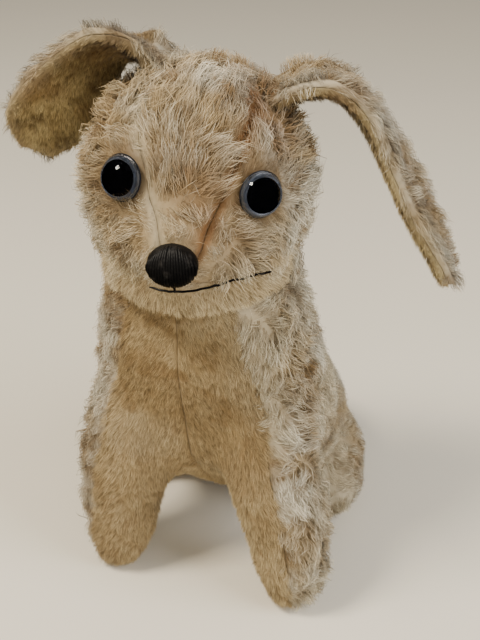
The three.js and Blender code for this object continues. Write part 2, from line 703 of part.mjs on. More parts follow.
const head = new THREE.Group();
head.add(
  ...upperJoint(),
  ...headPanels(),
  headStuffing(),
  ...eye(1),
  ...eye(-1),
  nose(),
  mouth(),
  ...ear('left', LEFT_EAR, -1),
  ...ear('right', RIGHT_EAR, 1),
);
head.position.set(0, NECK_Y, NECK_HEIGHT);
head.rotation.z = THREE.MathUtils.degToRad(HEAD_TURN);

const dog = new THREE.Group();
dog.add(...bodyPanels(), bodyStuffing(), ...lowerJoint(), ...tail(), head);

// The origin is on the floor under the middle of the dog's box.
const box = new THREE.Box3().setFromObject(dog, true);
const middle = box.getCenter(new THREE.Vector3());
dog.position.set(-middle.x, -middle.y, -box.min.z);

export default dog;
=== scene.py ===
"""The looks of a seated plush dog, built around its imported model.

The dog is sewn from long mohair and short plush. Each sewn bag (trunk and legs, head, ears, tail)
is a soft skin swelled between its seams, a pile of separate strands that stand on the skin, and a
filling within. Eyes, nose and mouth are pieces of their own.
"""

from __future__ import annotations

import json
import logging
import math
import sys
from collections.abc import Sequence
from dataclasses import dataclass, field
from enum import Enum

import bmesh
import bpy
import numpy as np
from mathutils import Matrix, Vector, noise
from mathutils.bvhtree import BVHTree
from mathutils.kdtree import KDTree


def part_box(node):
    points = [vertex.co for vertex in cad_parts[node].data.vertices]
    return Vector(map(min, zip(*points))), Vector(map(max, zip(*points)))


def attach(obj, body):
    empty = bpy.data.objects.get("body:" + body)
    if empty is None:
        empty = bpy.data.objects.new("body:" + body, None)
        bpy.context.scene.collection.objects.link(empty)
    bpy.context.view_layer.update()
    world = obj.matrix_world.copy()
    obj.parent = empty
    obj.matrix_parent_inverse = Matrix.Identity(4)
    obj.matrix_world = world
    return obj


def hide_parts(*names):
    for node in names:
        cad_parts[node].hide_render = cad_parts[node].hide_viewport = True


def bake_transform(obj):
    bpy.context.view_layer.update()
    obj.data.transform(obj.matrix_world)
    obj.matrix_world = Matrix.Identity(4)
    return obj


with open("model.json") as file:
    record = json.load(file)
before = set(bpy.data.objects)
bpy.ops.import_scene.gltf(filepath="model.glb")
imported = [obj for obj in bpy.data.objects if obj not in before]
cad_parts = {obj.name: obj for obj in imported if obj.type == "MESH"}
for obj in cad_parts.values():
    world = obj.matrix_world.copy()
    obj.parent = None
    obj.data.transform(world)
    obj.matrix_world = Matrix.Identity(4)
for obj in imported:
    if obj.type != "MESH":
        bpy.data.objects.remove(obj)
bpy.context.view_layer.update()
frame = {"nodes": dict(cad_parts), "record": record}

log = logging.getLogger("plush_dog")

MM = 0.001
NECK = Vector(next(j["pos_m"] for j in frame["record"]["behaviour"]["joints"] if j["name"] == "neck_swivel"))
HEAD_TURN = math.radians(13)
HEAD_LEFT = Vector((math.cos(HEAD_TURN), math.sin(HEAD_TURN), 0))
HEAD_BACK = Vector((-math.sin(HEAD_TURN), math.cos(HEAD_TURN), 0))
UP = Vector((0, 0, 1))


# ---- Small tools ----


def middle(node: str) -> Vector:
    """The middle of a CAD node's box.

    Args:
        node: the node's name.

    Returns:
        A point in metres.
    """
    low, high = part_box(node)
    return (low + high) / 2


def joint_place(name: str) -> Vector:
    """Where a joint's axis is.

    Args:
        name: the joint's name.

    Returns:
        A point in metres.
    """
    joints = frame["record"]["behaviour"]["joints"]
    return Vector(next(joint["pos_m"] for joint in joints if joint["name"] == name))


def deselect() -> None:
    """Leaves nothing selected."""
    bpy.ops.object.select_all(action="DESELECT")


def activate(piece: bpy.types.Object) -> None:
    """Selects one object alone and makes it the active one.

    Args:
        piece: the object.
    """
    deselect()
    piece.select_set(True)
    bpy.context.view_layer.objects.active = piece


def apply_modifiers(piece: bpy.types.Object) -> None:
    """Applies every modifier of an object, in order.

    Args:
        piece: the object.
    """
    activate(piece)
    for modifier in list(piece.modifiers):
        bpy.ops.object.modifier_apply(modifier=modifier.name)


def unit(vectors: np.ndarray) -> np.ndarray:
    """Rows scaled to length one.

    Args:
        vectors: rows of three.

    Returns:
        The scaled rows.
    """
    return vectors / np.maximum(np.linalg.norm(vectors, axis=1, keepdims=True), 1e-9)


def smooth_step(low: float, high: float, values: np.ndarray) -> np.ndarray:
    """Zero below low and one above high, smooth between.

    Args:
        low: where the rise starts.
        high: where it ends.
        values: what is tested.

    Returns:
        A share from 0 to 1 for each value.
    """
    t = np.clip((values - low) / (high - low), 0, 1)
    return t * t * (3 - 2 * t)


def drift(points: np.ndarray, size: float, seed: float) -> np.ndarray:
    """A vector that wanders smoothly from place to place.

    Args:
        points: rows of three, in metres.
        size: the width of its swirls in metres.
        seed: moves the pattern.

    Returns:
        A row of three for each point, each from about -1 to 1.
    """
    shift = Vector((seed * 7.1, seed * 3.3, seed * 5.7))
    return np.array([noise.noise_vector(Vector(p) / size + shift) for p in points.tolist()]).reshape(-1, 3)


def object_from(name: str, points: np.ndarray, triangles: np.ndarray) -> bpy.types.Object:
    """An object made of triangles.

    Args:
        name: the piece's name.
        points: rows of three, in metres.
        triangles: rows of three indices, going round outwards.

    Returns:
        The object, in the scene.
    """
    mesh = bpy.data.meshes.new(name)
    mesh.vertices.add(len(points))
    mesh.vertices.foreach_set("co", points.astype(np.float32).ravel())
    mesh.loops.add(triangles.size)
    mesh.loops.foreach_set("vertex_index", triangles.astype(np.int32).ravel())
    mesh.polygons.add(len(triangles))
    mesh.polygons.foreach_set("loop_start", np.arange(0, triangles.size, 3, dtype=np.int32))
    mesh.update(calc_edges=True)
    piece = bpy.data.objects.new(name, mesh)
    bpy.context.scene.collection.objects.link(piece)
    return piece


def coordinates(mesh: bpy.types.Mesh) -> np.ndarray:
    """The vertices of a mesh as rows of three.

    Args:
        mesh: the mesh.

    Returns:
        The points in metres.
    """
    points = np.zeros(len(mesh.vertices) * 3, np.float32)
    mesh.vertices.foreach_get("co", points)
    return points.reshape(-1, 3).astype(float)


def normals_of(mesh: bpy.types.Mesh) -> np.ndarray:
    """The vertex normals of a mesh as rows of three.

    Args:
        mesh: the mesh.

    Returns:
        The unit normals.
    """
    found = np.zeros(len(mesh.vertices) * 3, np.float32)
    mesh.vertices.foreach_get("normal", found)
    return found.reshape(-1, 3).astype(float)


# ---- Materials ----


class Finish:
    """A material being built: it places nodes and joins them."""

    def __init__(self, name: str, roughness: float = 0.6) -> None:
        """Starts a material with one Principled shader.

        Args:
            name: the material's name.
            roughness: how rough it is all over.
        """
        self.material = bpy.data.materials.new(name)
        self.material.use_nodes = True
        self.nodes = self.material.node_tree.nodes
        self.links = self.material.node_tree.links
        self.shader = self.nodes["Principled BSDF"]
        self.set("Roughness", roughness)

    def set(self, socket: str, value: float | tuple[float, ...]) -> "Finish":
        """Sets a plain value on the shader.

        Args:
            socket: the input's name.
            value: a number, or a colour with its alpha.

        Returns:
            The finish itself.
        """
        self.shader.inputs[socket].default_value = value
        return self

    def node(self, kind: str, **values: object) -> bpy.types.Node:
        """Adds a node.

        Args:
            kind: the node's type.
            values: its properties, and its inputs by name with spaces as underscores.

        Returns:
            The node.
        """
        made = self.nodes.new(kind)
        for key, value in values.items():
            if hasattr(made, key):
                setattr(made, key, value)
            else:
                made.inputs[key.replace("_", " ")].default_value = value
        return made

    def join(self, start: bpy.types.NodeSocket, end: bpy.types.NodeSocket) -> None:
        """Links one socket to another.

        Args:
            start: an output.
            end: an input.
        """
        self.links.new(start, end)

    def place(self) -> bpy.types.NodeSocket:
        """The output that gives a point's place in the object."""
        return self.node("ShaderNodeTexCoord").outputs["Object"]

    def noise(self, scale: float, detail: float = 3, roughness: float = 0.55) -> bpy.types.NodeSocket:
        """A cloudy value over the object.

        Args:
            scale: clouds to the metre.
            detail: how many finer layers it has.
            roughness: how strong they are.

        Returns:
            An output from 0 to 1.
        """
        made = self.node("ShaderNodeTexNoise", Scale=scale, Detail=detail, Roughness=roughness)
        self.join(self.place(), made.inputs["Vector"])
        return made.outputs["Fac"]

    def ramp(self, value: bpy.types.NodeSocket, low: float, high: float) -> bpy.types.NodeSocket:
        """Stretches a value, so that low becomes 0 and high becomes 1.

        Args:
            value: the output to stretch.
            low: the value that becomes 0.
            high: the value that becomes 1.

        Returns:
            The stretched output.
        """
        made = self.node("ShaderNodeMapRange", interpolation_type="SMOOTHSTEP")
        made.inputs["From Min"].default_value = low
        made.inputs["From Max"].default_value = high
        self.join(value, made.inputs["Value"])
        return made.outputs["Result"]

    def scaled(self, value: bpy.types.NodeSocket, low: float, high: float) -> bpy.types.NodeSocket:
        """Spreads a value from 0 to 1 between two others.

        Args:
            value: an output from 0 to 1.
            low: what 0 becomes.
            high: what 1 becomes.

        Returns:
            The spread output.
        """
        made = self.node("ShaderNodeMapRange")
        made.inputs["To Min"].default_value = low
        made.inputs["To Max"].default_value = high
        self.join(value, made.inputs["Value"])
        return made.outputs["Result"]

    def mix(
        self,
        share: bpy.types.NodeSocket | float,
        first: bpy.types.NodeSocket | tuple[float, float, float],
        second: bpy.types.NodeSocket | tuple[float, float, float],
        blend: str = "MIX",
    ) -> bpy.types.NodeSocket:
        """Mixes two colours.

        Args:
            share: how much of the second.
            first: a colour, or an output that gives one.
            second: the same.
            blend: how they mix.

        Returns:
            The mixed colour.
        """
        made = self.nodes.new("ShaderNodeMix")
        made.data_type = "RGBA"
        made.blend_type = blend
        for socket, value in ((made.inputs[0], share), (made.inputs[6], first), (made.inputs[7], second)):
            if isinstance(value, bpy.types.NodeSocket):
                self.join(value, socket)
            elif isinstance(value, tuple):
                socket.default_value = (*value, 1)
            else:
                socket.default_value = value
        return made.outputs[2]

    def bump(self, height: bpy.types.NodeSocket, distance: float, strength: float = 1) -> None:
        """Raises the surface by a height.

        Args:
            height: an output from 0 to 1.
            distance: how far 1 stands out, in metres.
            strength: how much of it shows.
        """
        made = self.node("ShaderNodeBump", Strength=strength, Distance=distance)
        self.join(height, made.inputs["Height"])
        self.join(made.outputs["Normal"], self.shader.inputs["Normal"])

    def color(self, value: bpy.types.NodeSocket) -> None:
        """Gives the shader its colour.

        Args:
            value: the output that holds it.
        """
        self.join(value, self.shader.inputs["Base Color"])


def tone(red: int, green: int, blue: int) -> tuple[float, float, float]:
    """A colour from its 0 to 255 display values.

    Args:
        red: the red value.
        green: the green value.
        blue: the blue value.

    Returns:
        The colour in linear light.
    """

    def linear(value: float) -> float:
        """One channel in linear light."""
        share = value / 255
        return share / 12.92 if share <= 0.04045 else ((share + 0.055) / 1.055) ** 2.4

    return (linear(red), linear(green), linear(blue))


RUST = tone(138, 84, 38)
# Cream laid on for pale fur and worn ridges, and as painted light on the left flank and low on the chest.
CREAM = tone(234, 222, 188)
# Dark brown laid on for dirt, and as painted shade round the eyes, along the mouth, in the ears' hollows, under the
# head and down the body's right side.
SOOT_AND_PAINTED_SHADE = tone(74, 56, 36)


@dataclass(frozen=True)
class ClothColours:
    """The colours of one cloth, from the foot of its pile to the tip.

    Attributes:
        foot: the pile's colour at the backing, darker: the cloth's own darker roots and painted shade deep in the
            pile.
        main: most of the pile.
        pale: the faded patches.
        deep: the brown tufts.
    """

    foot: tuple[float, float, float]
    main: tuple[float, float, float]
    pale: tuple[float, float, float]
    deep: tuple[float, float, float]


class Cloth(Enum):
    """The three cloths that the dog is sewn from."""

    MOHAIR = ClothColours(tone(112, 88, 56), tone(192, 168, 126), tone(240, 231, 206), tone(130, 104, 68))
    PLUSH = ClothColours(tone(118, 95, 62), tone(176, 150, 104), tone(206, 182, 136), tone(158, 130, 86))
    LINING = ClothColours(tone(80, 62, 34), tone(150, 124, 76), tone(214, 190, 132), tone(98, 76, 42))


def cloth_group() -> bpy.types.NodeTree:
    """The node group that colours a cloth: faded patches, tufts, rust, cream and dirt marks, and painted light and
    painted shade over its main colour, darker towards each strand's foot, partly as painted shade.

    Returns:
        A group that puts out one colour.
    """
    tree = bpy.data.node_groups.new("cloth colour", "ShaderNodeTree")
    for name in ("Foot", "Main", "Pale", "Deep"):
        tree.interface.new_socket(name, in_out="INPUT", socket_type="NodeSocketColor")
    for name in ("Place", "Strand", "Stain_and_painted_light"):
        tree.interface.new_socket(name, in_out="INPUT", socket_type="NodeSocketVector")
    tree.interface.new_socket("Color", in_out="OUTPUT", socket_type="NodeSocketColor")
    nodes, links = tree.nodes, tree.links
    given = nodes.new("NodeGroupInput").outputs
    result = nodes.new("NodeGroupOutput").inputs

    def clouds(scale: float, low: float, high: float) -> bpy.types.NodeSocket:
        """A patchy mask with clouds of one size."""
        cloud = nodes.new("ShaderNodeTexNoise")
        cloud.inputs["Scale"].default_value = scale
        cloud.inputs["Detail"].default_value = 3
        links.new(given["Place"], cloud.inputs["Vector"])
        span = nodes.new("ShaderNodeMapRange")
        span.interpolation_type = "SMOOTHSTEP"
        span.inputs["From Min"].default_value = low
        span.inputs["From Max"].default_value = high
        links.new(cloud.outputs["Fac"], span.inputs["Value"])
        return span.outputs["Result"]

    def mixed(
        share: bpy.types.NodeSocket,
        first: bpy.types.NodeSocket,
        second: bpy.types.NodeSocket | tuple[float, float, float],
    ) -> bpy.types.NodeSocket:
        """One colour laid over another."""
        made = nodes.new("ShaderNodeMix")
        made.data_type = "RGBA"
        links.new(share, made.inputs[0])
        links.new(first, made.inputs[6])
        if isinstance(second, tuple):
            made.inputs[7].default_value = (*second, 1)
        else:
            links.new(second, made.inputs[7])
        return made.outputs[2]

    def product(*factors: bpy.types.NodeSocket | float) -> bpy.types.NodeSocket:
        """The factors multiplied together."""
        whole = factors[0]
        for factor in factors[1:]:
            times = nodes.new("ShaderNodeMath")
            times.operation = "MULTIPLY"
            links.new(whole, times.inputs[0])
            if isinstance(factor, float):
                times.inputs[1].default_value = factor
            else:
                links.new(factor, times.inputs[1])
            whole = times.outputs[0]
        return whole

    strand = nodes.new("ShaderNodeSeparateXYZ")
    links.new(given["Strand"], strand.inputs[0])
    own, along, tuft = strand.outputs
    stain_and_painted_light = nodes.new("ShaderNodeSeparateXYZ")
    links.new(given["Stain_and_painted_light"], stain_and_painted_light.inputs[0])
    rust, cream, soot_and_painted_shade = stain_and_painted_light.outputs
    body = mixed(clouds(30, 0.46, 0.6), given["Main"], given["Pale"])
    body = mixed(product(clouds(44, 0.5, 0.64), 0.6), body, given["Deep"])
    body = mixed(clouds(110, 0.52, 0.66), body, given["Deep"])
    body = mixed(product(tuft, along, 0.8), body, given["Pale"])
    # Cream lightens for pale fur and for painted light; the dark brown mix below darkens for dirt and for painted
    # shade.
    body = mixed(product(cream, 0.85), body, CREAM)
    body = mixed(product(rust, 0.9), body, RUST)
    body = mixed(product(soot_and_painted_shade, 0.8), body, SOOT_AND_PAINTED_SHADE)
    # Darker towards each strand's foot: the cloth's darker roots and painted shade deep in the pile.
    rise = nodes.new("ShaderNodeMapRange")
    rise.inputs["To Min"].default_value = 0.1
    rise.inputs["To Max"].default_value = 1.15
    links.new(along, rise.inputs["Value"])
    body = mixed(rise.outputs["Result"], given["Foot"], body)
    shade = nodes.new("ShaderNodeMapRange")
    shade.inputs["To Min"].default_value = 0.5
    shade.inputs["To Max"].default_value = 1.2
    links.new(own, shade.inputs["Value"])
    bright = nodes.new("ShaderNodeVectorMath")
    bright.operation = "SCALE"
    links.new(body, bright.inputs[0])
    links.new(shade.outputs["Result"], bright.inputs["Scale"])
    links.new(bright.outputs["Vector"], result["Color"])
    return tree


CLOTH_GROUP = cloth_group()


def cloth_finish(cloth: Cloth) -> bpy.types.Material:
    """The finish of a cloth's pile or backing, which reads the piece's strand attribute and the attribute of its
    marks, painted light and painted shade.

    Args:
        cloth: which of the cloths.

    Returns:
        The material.
    """
    finish = Finish(f"{cloth.name.lower()} pile", roughness=0.62)
    finish.set("Sheen Weight", 0.06)
    finish.set("Sheen Roughness", 0.45)
    finish.set("Specular IOR Level", 0.22)
    group = finish.node("ShaderNodeGroup", node_tree=CLOTH_GROUP)
    colours = cloth.value
    for name, colour in (("Foot", colours.foot), ("Main", colours.main)):
        group.inputs[name].default_value = (*colour, 1)
    for name, colour in (("Pale", colours.pale), ("Deep", colours.deep)):
        group.inputs[name].default_value = (*colour, 1)
    finish.join(finish.place(), group.inputs["Place"])
    for name in ("Strand", "Stain_and_painted_light"):
        source = finish.node("ShaderNodeAttribute", attribute_name=name.lower())
        finish.join(source.outputs["Vector"], group.inputs[name])
    finish.color(group.outputs["Color"])
    return finish.material


# ---- Pile ----


@dataclass(frozen=True)
class Pile:
    """How a cloth's pile stands: lengths in millimetres and angles in degrees.

    Attributes:
        length: from foot to tip.
        width: across a strand at its widest.
        density: strands to the square millimetre.
        lay: how far the pile leans from upright.
        tuft: the distance between one tuft and the next.
        gather: how far a strand's tip is drawn to its tuft's tip, from 0 to 1.
        stray: how far tufts and strands wander from the way the cloth is combed.
        bends: how many times a strand bends: 0 for a straight spike.
    """

    length: float
    width: float
    density: float
    lay: float
    tuft: float
    gather: float
    stray: float
    bends: int


PILES = {
    Cloth.MOHAIR: Pile(10.0, 0.29, 1.84, 76, 4.6, 0.72, 1.3, 1),
    Cloth.PLUSH: Pile(3.4, 0.26, 3.8, 66, 3.0, 0.5, 0.6, 0),
    Cloth.LINING: Pile(2.6, 0.30, 3.3, 58, 2.2, 0.65, 0.35, 0),
}
MOST_TRIANGLES = 190_000
SOFTNESS = 0.7  # how much the strands take their light from the cloth's own direction
STRAYS = 0.04  # the share of strands that have come out of their tufts
DRIFT_SEED = 7  # fixes where the swirls and stains fall


@dataclass
class Roots:
    """The feet of the strands on one panel, one row or value for each.

    Attributes:
        points: where they stand, in metres.
        normals: which way is out of the cloth.
        comb: the way the cloth is combed, along its surface.
        length: each strand's length as a share of the pile's.
        stain_and_painted_light: rust, cream and soot, each from 0 to 1; the cream also carries painted light and the
            soot painted shade.
    """

    points: np.ndarray
    normals: np.ndarray
    comb: np.ndarray
    length: np.ndarray
    stain_and_painted_light: np.ndarray

    def part(self, rows: np.ndarray) -> "Roots":
        """Some of the roots.

        Args:
            rows: which ones.

        Returns:
            Those roots alone.
        """
        chosen = (self.points, self.normals, self.comb, self.length, self.stain_and_painted_light)
        return Roots(*(values[rows] for values in chosen))


def scatter(piece: bpy.types.Object, density: float, rng: np.random.Generator) -> tuple[np.ndarray, np.ndarray]:
    """Spreads points evenly over a piece's faces.

    Args:
        piece: the object.
        density: points to the square millimetre.
        rng: the seeded source of chance.

    Returns:
        The points in metres and the normals there.
    """
    mesh = piece.data
    mesh.calc_loop_triangles()
    corners = np.zeros(len(mesh.loop_triangles) * 3, np.int32)
    mesh.loop_triangles.foreach_get("vertices", corners)
    corners = corners.reshape(-1, 3)
    points, normals = coordinates(mesh)[corners], normals_of(mesh)[corners]
    area = np.linalg.norm(np.cross(points[:, 1] - points[:, 0], points[:, 2] - points[:, 0]), axis=1) / 2
    count = int(area.sum() / MM**2 * density)
    chosen = rng.choice(len(area), count, p=area / area.sum())
    first, second = np.sqrt(rng.random(count)), rng.random(count)
    shares = np.stack([1 - first, first * (1 - second), first * second], axis=1)[:, :, None]
    return (points[chosen] * shares).sum(1), unit((normals[chosen] * shares).sum(1))


def along_surface(directions: np.ndarray, normals: np.ndarray) -> np.ndarray:
    """Directions laid flat on a surface.

    Args:
        directions: rows of three.
        normals: the surface's unit normals.

    Returns:
        Unit directions along it.
    """
    return unit(directions - normals * (directions * normals).sum(1, keepdims=True))


def strand_lines(roots: Roots, pile: Pile, lowest: float,
                 rng: np.random.Generator) -> tuple[list[np.ndarray], np.ndarray]:
    """The points that each strand passes through, drawn together in tufts.

    Args:
        roots: where the strands stand.
        pile: how they stand.
        lowest: the height in metres that no strand passes under.
        rng: the seeded source of chance.

    Returns:
        The rows of points from foot to tip, and each strand's tuft value from 0 to 1.
    """
    count = len(roots.points)
    share = min(1.0, 1 / (pile.density * pile.tuft**2))
    heads = rng.choice(count, max(int(count * share), 1), replace=False)
    tree = KDTree(len(heads))
    for index, point in enumerate(roots.points[heads].tolist()):
        tree.insert(point, index)
    tree.balance()
    nearest = np.array([tree.find(point)[1] for point in roots.points.tolist()])
    swirl = drift(roots.points[heads], 0.018, 1.0) * 1.9 + rng.normal(0, 0.28, (len(heads), 3))
    standing = drift(roots.points[heads], 0.012, 3.0)[:, 1] * 20
    lean = np.radians(np.minimum(pile.lay + standing + rng.normal(0, 9, len(heads)), 84))[:, None]
    flat = along_surface(roots.comb[heads] + swirl * pile.stray, roots.normals[heads])
    pointing = roots.normals[heads] * np.cos(lean) + flat * np.sin(lean)
    reach = (pile.length * MM * roots.length * rng.uniform(0.78, 1.18, count))[:, None]
    own_flat = along_surface(roots.comb + rng.normal(0, 0.5, (count, 3)) * pile.stray, roots.normals)
    own_lean = np.radians(pile.lay + rng.normal(0, 9, count))[:, None]
    own_tip = roots.points + reach * (roots.normals * np.cos(own_lean) + own_flat * np.sin(own_lean))
    offset = roots.points - roots.points[heads][nearest]
    tuft_tip = roots.points + reach * pointing[nearest] - offset * 0.7
    stays = rng.random(count) > STRAYS
    tip = own_tip + (tuft_tip - own_tip) * (pile.gather * stays)[:, None]
    tip += rng.normal(0, 0.045, (count, 3)) * reach
    lines = [roots.points - roots.normals * 0.3 * MM]
    if pile.bends:
        bow = roots.normals * 0.14 + rng.normal(0, 0.09, (count, 3))
        lines.append((roots.points + tip) / 2 + bow * reach)
    lines.append(tip)
    for row in lines[1:]:
        row[:, 2] = np.maximum(row[:, 2], lowest + rng.uniform(0, 1.2 * MM, count) * (lowest > MM))
    return lines, rng.random(len(heads))[nearest]


def strand_mesh(name: str, lines: list[np.ndarray], tuft: np.ndarray, roots: Roots, width: float,
                rng: np.random.Generator) -> bpy.types.Object:
    """Closed, tapering strands along their lines, each with a patch of its own in the OFBake UV map.

    Args:
        name: the piece's name.
        lines: rows of points from foot to tip.
        tuft: each strand's tuft value.
        roots: where the strands stand.
        width: the widest width in metres.
        rng: the seeded source of chance.

    Returns:
        The object.
    """
    count, rings = len(tuft), len(lines) - 1
    direction = unit(lines[-1] - lines[0])
    wide = unit(np.cross(direction, roots.normals + rng.normal(0, 0.25, (count, 3))))
    thick = np.cross(direction, wide)
    lit = unit(roots.normals * 1.25 - direction * (roots.normals * direction).sum(1, keepdims=True))
    breadth = (width * rng.uniform(0.7, 1.2, count) * np.clip(roots.length, 0.5, 1.1))[:, None] / 2
    points, heights, sides, facing = [], [], [], []
    for ring in range(rings):
        grown = breadth * (0.8 if ring == 0 and rings > 1 else 1.0)
        for corner, angle in enumerate((0, 2 * math.pi / 3, 4 * math.pi / 3)):
            spread = wide * math.cos(angle) + thick * math.sin(angle) * 0.6
            points.append(lines[ring] + spread * grown)
            facing.append(lit * SOFTNESS + spread * 0.5)
            heights.append(ring / rings)
            sides.append(corner / 2)
    points.append(lines[-1])
    heights.append(1.0)
    sides.append(0.5)
    facing.append(lit * SOFTNESS)
    corners = len(points)
    faces = [(0, 2, 1)]
    for ring in range(rings - 1):
        for corner in range(3):
            a, b = ring * 3 + corner, ring * 3 + (corner + 1) % 3
            faces += [(a, b, b + 3), (a, b + 3, a + 3)]
    last = (rings - 1) * 3
    faces += [(last + corner, last + (corner + 1) % 3, corners - 1) for corner in range(3)]
    vertices = np.stack(points, axis=1).reshape(-1, 3)
    triangles = (np.array(faces)[None] + np.arange(count)[:, None, None] * corners).reshape(-1, 3)
    piece = object_from(name, vertices, triangles)
    along = np.tile(heights, count)
    own = np.repeat(rng.random(count), corners)
    store(piece, "strand", np.stack([own, along, np.repeat(tuft, corners)], axis=1))
    store(piece, "stain_and_painted_light", np.repeat(roots.stain_and_painted_light, corners, axis=0))
    across = math.ceil(math.sqrt(count))
    cell = np.arange(count)
    left = (np.repeat(cell % across, corners) + 0.2 + 0.6 * np.tile(sides, count)) / across
    foot = (np.repeat(cell // across, corners) + 0.15 + 0.7 * along) / across
    layer = piece.data.uv_layers.new(name="OFBake")
    layer.data.foreach_set("uv", np.stack([left, foot], axis=1)[triangles.ravel()].astype(np.float32).ravel())
    piece.data.shade_smooth()
    facing_rows = unit(np.stack(facing, axis=1).reshape(-1, 3))
    piece.data.normals_split_custom_set_from_vertices(facing_rows.tolist())
    return piece


def store(piece: bpy.types.Object, name: str, values: np.ndarray) -> None:
    """Keeps a vector for each vertex of a piece.

    Args:
        piece: the object.
        name: the attribute's name.
        values: rows of three.
    """
    attribute = piece.data.attributes.new(name, "FLOAT_VECTOR", "POINT")
    attribute.data.foreach_set("vector", values.astype(np.float32).ravel())


# ---- Sewn bags ----


@dataclass
class Panel:
    """A panel of a sewn bag.

    Attributes:
        node: the CAD node that it stands for.
        cloth: what it is cut from.
    """

    node: str
    cloth: Cloth


@dataclass
class Bag:
    """A bag sewn from panels: a skin swelled between its seams, with its pile and its filling.

    Attributes:
        name: what the bag is called.
        body: the CAD body that it rides on.
        panels: its panels.
        voxel: the width of the skin's mesh before it is made finer, in millimetres.
        sunk: how far the skin lies under the pressed pile of the CAD solid, in millimetres.
        swell: how far it may swell back out between its seams, in millimetres.
        filling: the CAD node of its filling, if it has one.
        seed: the seed of its chances.
        valley: how deep its seams lie, in millimetres.
        backing: how thick its cloth is, in millimetres.
        lowest: the height that its pile stays above, in millimetres.
    """

    name: str
    body: str
    panels: Sequence[Panel]
    voxel: float
    sunk: float
    swell: float
    filling: str | None
    seed: int
    valley: float = 0.9
    backing: float = 1.1
    lowest: float = 0.25
    skins: dict[str, bpy.types.Object] = field(default_factory=dict)
    seam_points: dict[frozenset[str], np.ndarray] = field(default_factory=dict)
    surface: bpy.types.Object | None = None

    # -- the skin --

    def build(self) -> None:
        """Builds the skin, splits it into its panels, stands the pile on them and fills the bag."""
        self.surface = self.closed_skin()
        self.sink(self.surface)
        owners = self.owners(self.surface)
        if self.swell:
            self.inflate(self.surface, owners)
        self.refine(self.surface)
        owners = self.owners(self.surface)
        self.trace_seams(self.surface, owners)
        if self.filling:
            self.fill()
        self.split(self.surface, owners)
        log.info("%s: %d panels", self.name, len(self.panels))

    def closed_skin(self) -> bpy.types.Object:
        """The outside of the bag as one closed mesh.

        Returns:
            The object.
        """
        whole = bmesh.new()
        nodes = [panel.node for panel in self.panels] + ([self.filling] if self.filling else [])
        for node in nodes:
            whole.from_mesh(frame["nodes"][node].data)
        bmesh.ops.remove_doubles(whole, verts=whole.verts, dist=1e-6)
        mesh = bpy.data.meshes.new(f"{self.name}_skin")
        whole.to_mesh(mesh)
        whole.free()
        piece = bpy.data.objects.new(mesh.name, mesh)
        bpy.context.scene.collection.objects.link(piece)
        remesh = piece.modifiers.new("even mesh", "REMESH")
        remesh.mode = "VOXEL"
        remesh.voxel_size = self.voxel * MM
        apply_modifiers(piece)
        self.keep_outside(piece)
        smooth = piece.modifiers.new("softened", "SMOOTH")
        smooth.iterations = 4
        smooth.factor = 0.5
        apply_modifiers(piece)
        return piece

    @staticmethod
    def keep_outside(piece: bpy.types.Object) -> None:
        """Deletes every shell of a mesh but the largest.

        Args:
            piece: the object.
        """
        work = bmesh.new()
        work.from_mesh(piece.data)
        work.verts.ensure_lookup_table()
        shell = [-1] * len(work.verts)
        sizes: list[int] = []
        for start in work.verts:
            if shell[start.index] >= 0:
                continue
            number, queue = len(sizes), [start]
            shell[start.index] = number
            sizes.append(0)
            while queue:
                vert = queue.pop()
                sizes[number] += 1
                for edge in vert.link_edges:
                    other = edge.other_vert(vert)
                    if shell[other.index] < 0:
                        shell[other.index] = number
                        queue.append(other)
        best = sizes.index(max(sizes))
        bmesh.ops.delete(work, geom=[v for v in work.verts if shell[v.index] != best], context="VERTS")
        work.to_mesh(piece.data)
        work.free()

    def depth(self, points: np.ndarray, normals: np.ndarray) -> np.ndarray:
        """How far the skin lies inside the CAD solid at each point, as a share of sunk.

        Args:
            points: rows of three, in metres.
            normals: the unit normals there.

        Returns:
            A share for each point.
        """
        on_floor = (points[:, 2] < 3 * MM) & (normals[:, 2] < -0.6)
        return np.where(on_floor, 0.15, 1.0)

    def sink(self, piece: bpy.types.Object) -> None:
        """Draws the skin in, to leave room for the pile.

        Args:
            piece: the skin.
        """
        points, normals = coordinates(piece.data), normals_of(piece.data)
        points -= normals * (self.depth(points, normals) * self.sunk * MM)[:, None]
        piece.data.vertices.foreach_set("co", points.astype(np.float32).ravel())
        piece.data.update()

    def owners(self, piece: bpy.types.Object) -> np.ndarray:
        """Which panel each face belongs to: the one whose CAD solid is nearest.

        Args:
            piece: the skin.

        Returns:
            The panel's index for each face.
        """
        trees = []
        for panel in self.panels:
            mesh = frame["nodes"][panel.node].data
            corners = [tuple(polygon.vertices) for polygon in mesh.polygons]
            trees.append(BVHTree.FromPolygons([v.co for v in mesh.vertices], corners))
        found = np.zeros(len(piece.data.polygons), np.int32)
        for polygon in piece.data.polygons:
            spot = polygon.center + polygon.normal * self.sunk * MM
            gaps = [tree.find_nearest(spot)[3] for tree in trees]
            found[polygon.index] = gaps.index(min(gaps))
        return found

    def seam_vertices(self, piece: bpy.types.Object, owners: np.ndarray) -> dict[int, set[int]]:
        """The vertices on a seam and the panels that meet there.

        Args:
            piece: the skin.
            owners: the panel of each face.

        Returns:
            A set of panel indices for each seam vertex.
        """
        meeting: dict[int, set[int]] = {}
        for polygon in piece.data.polygons:
            for vertex in polygon.vertices:
                meeting.setdefault(vertex, set()).add(int(owners[polygon.index]))
        return {vertex: panels for vertex, panels in meeting.items() if len(panels) > 1}

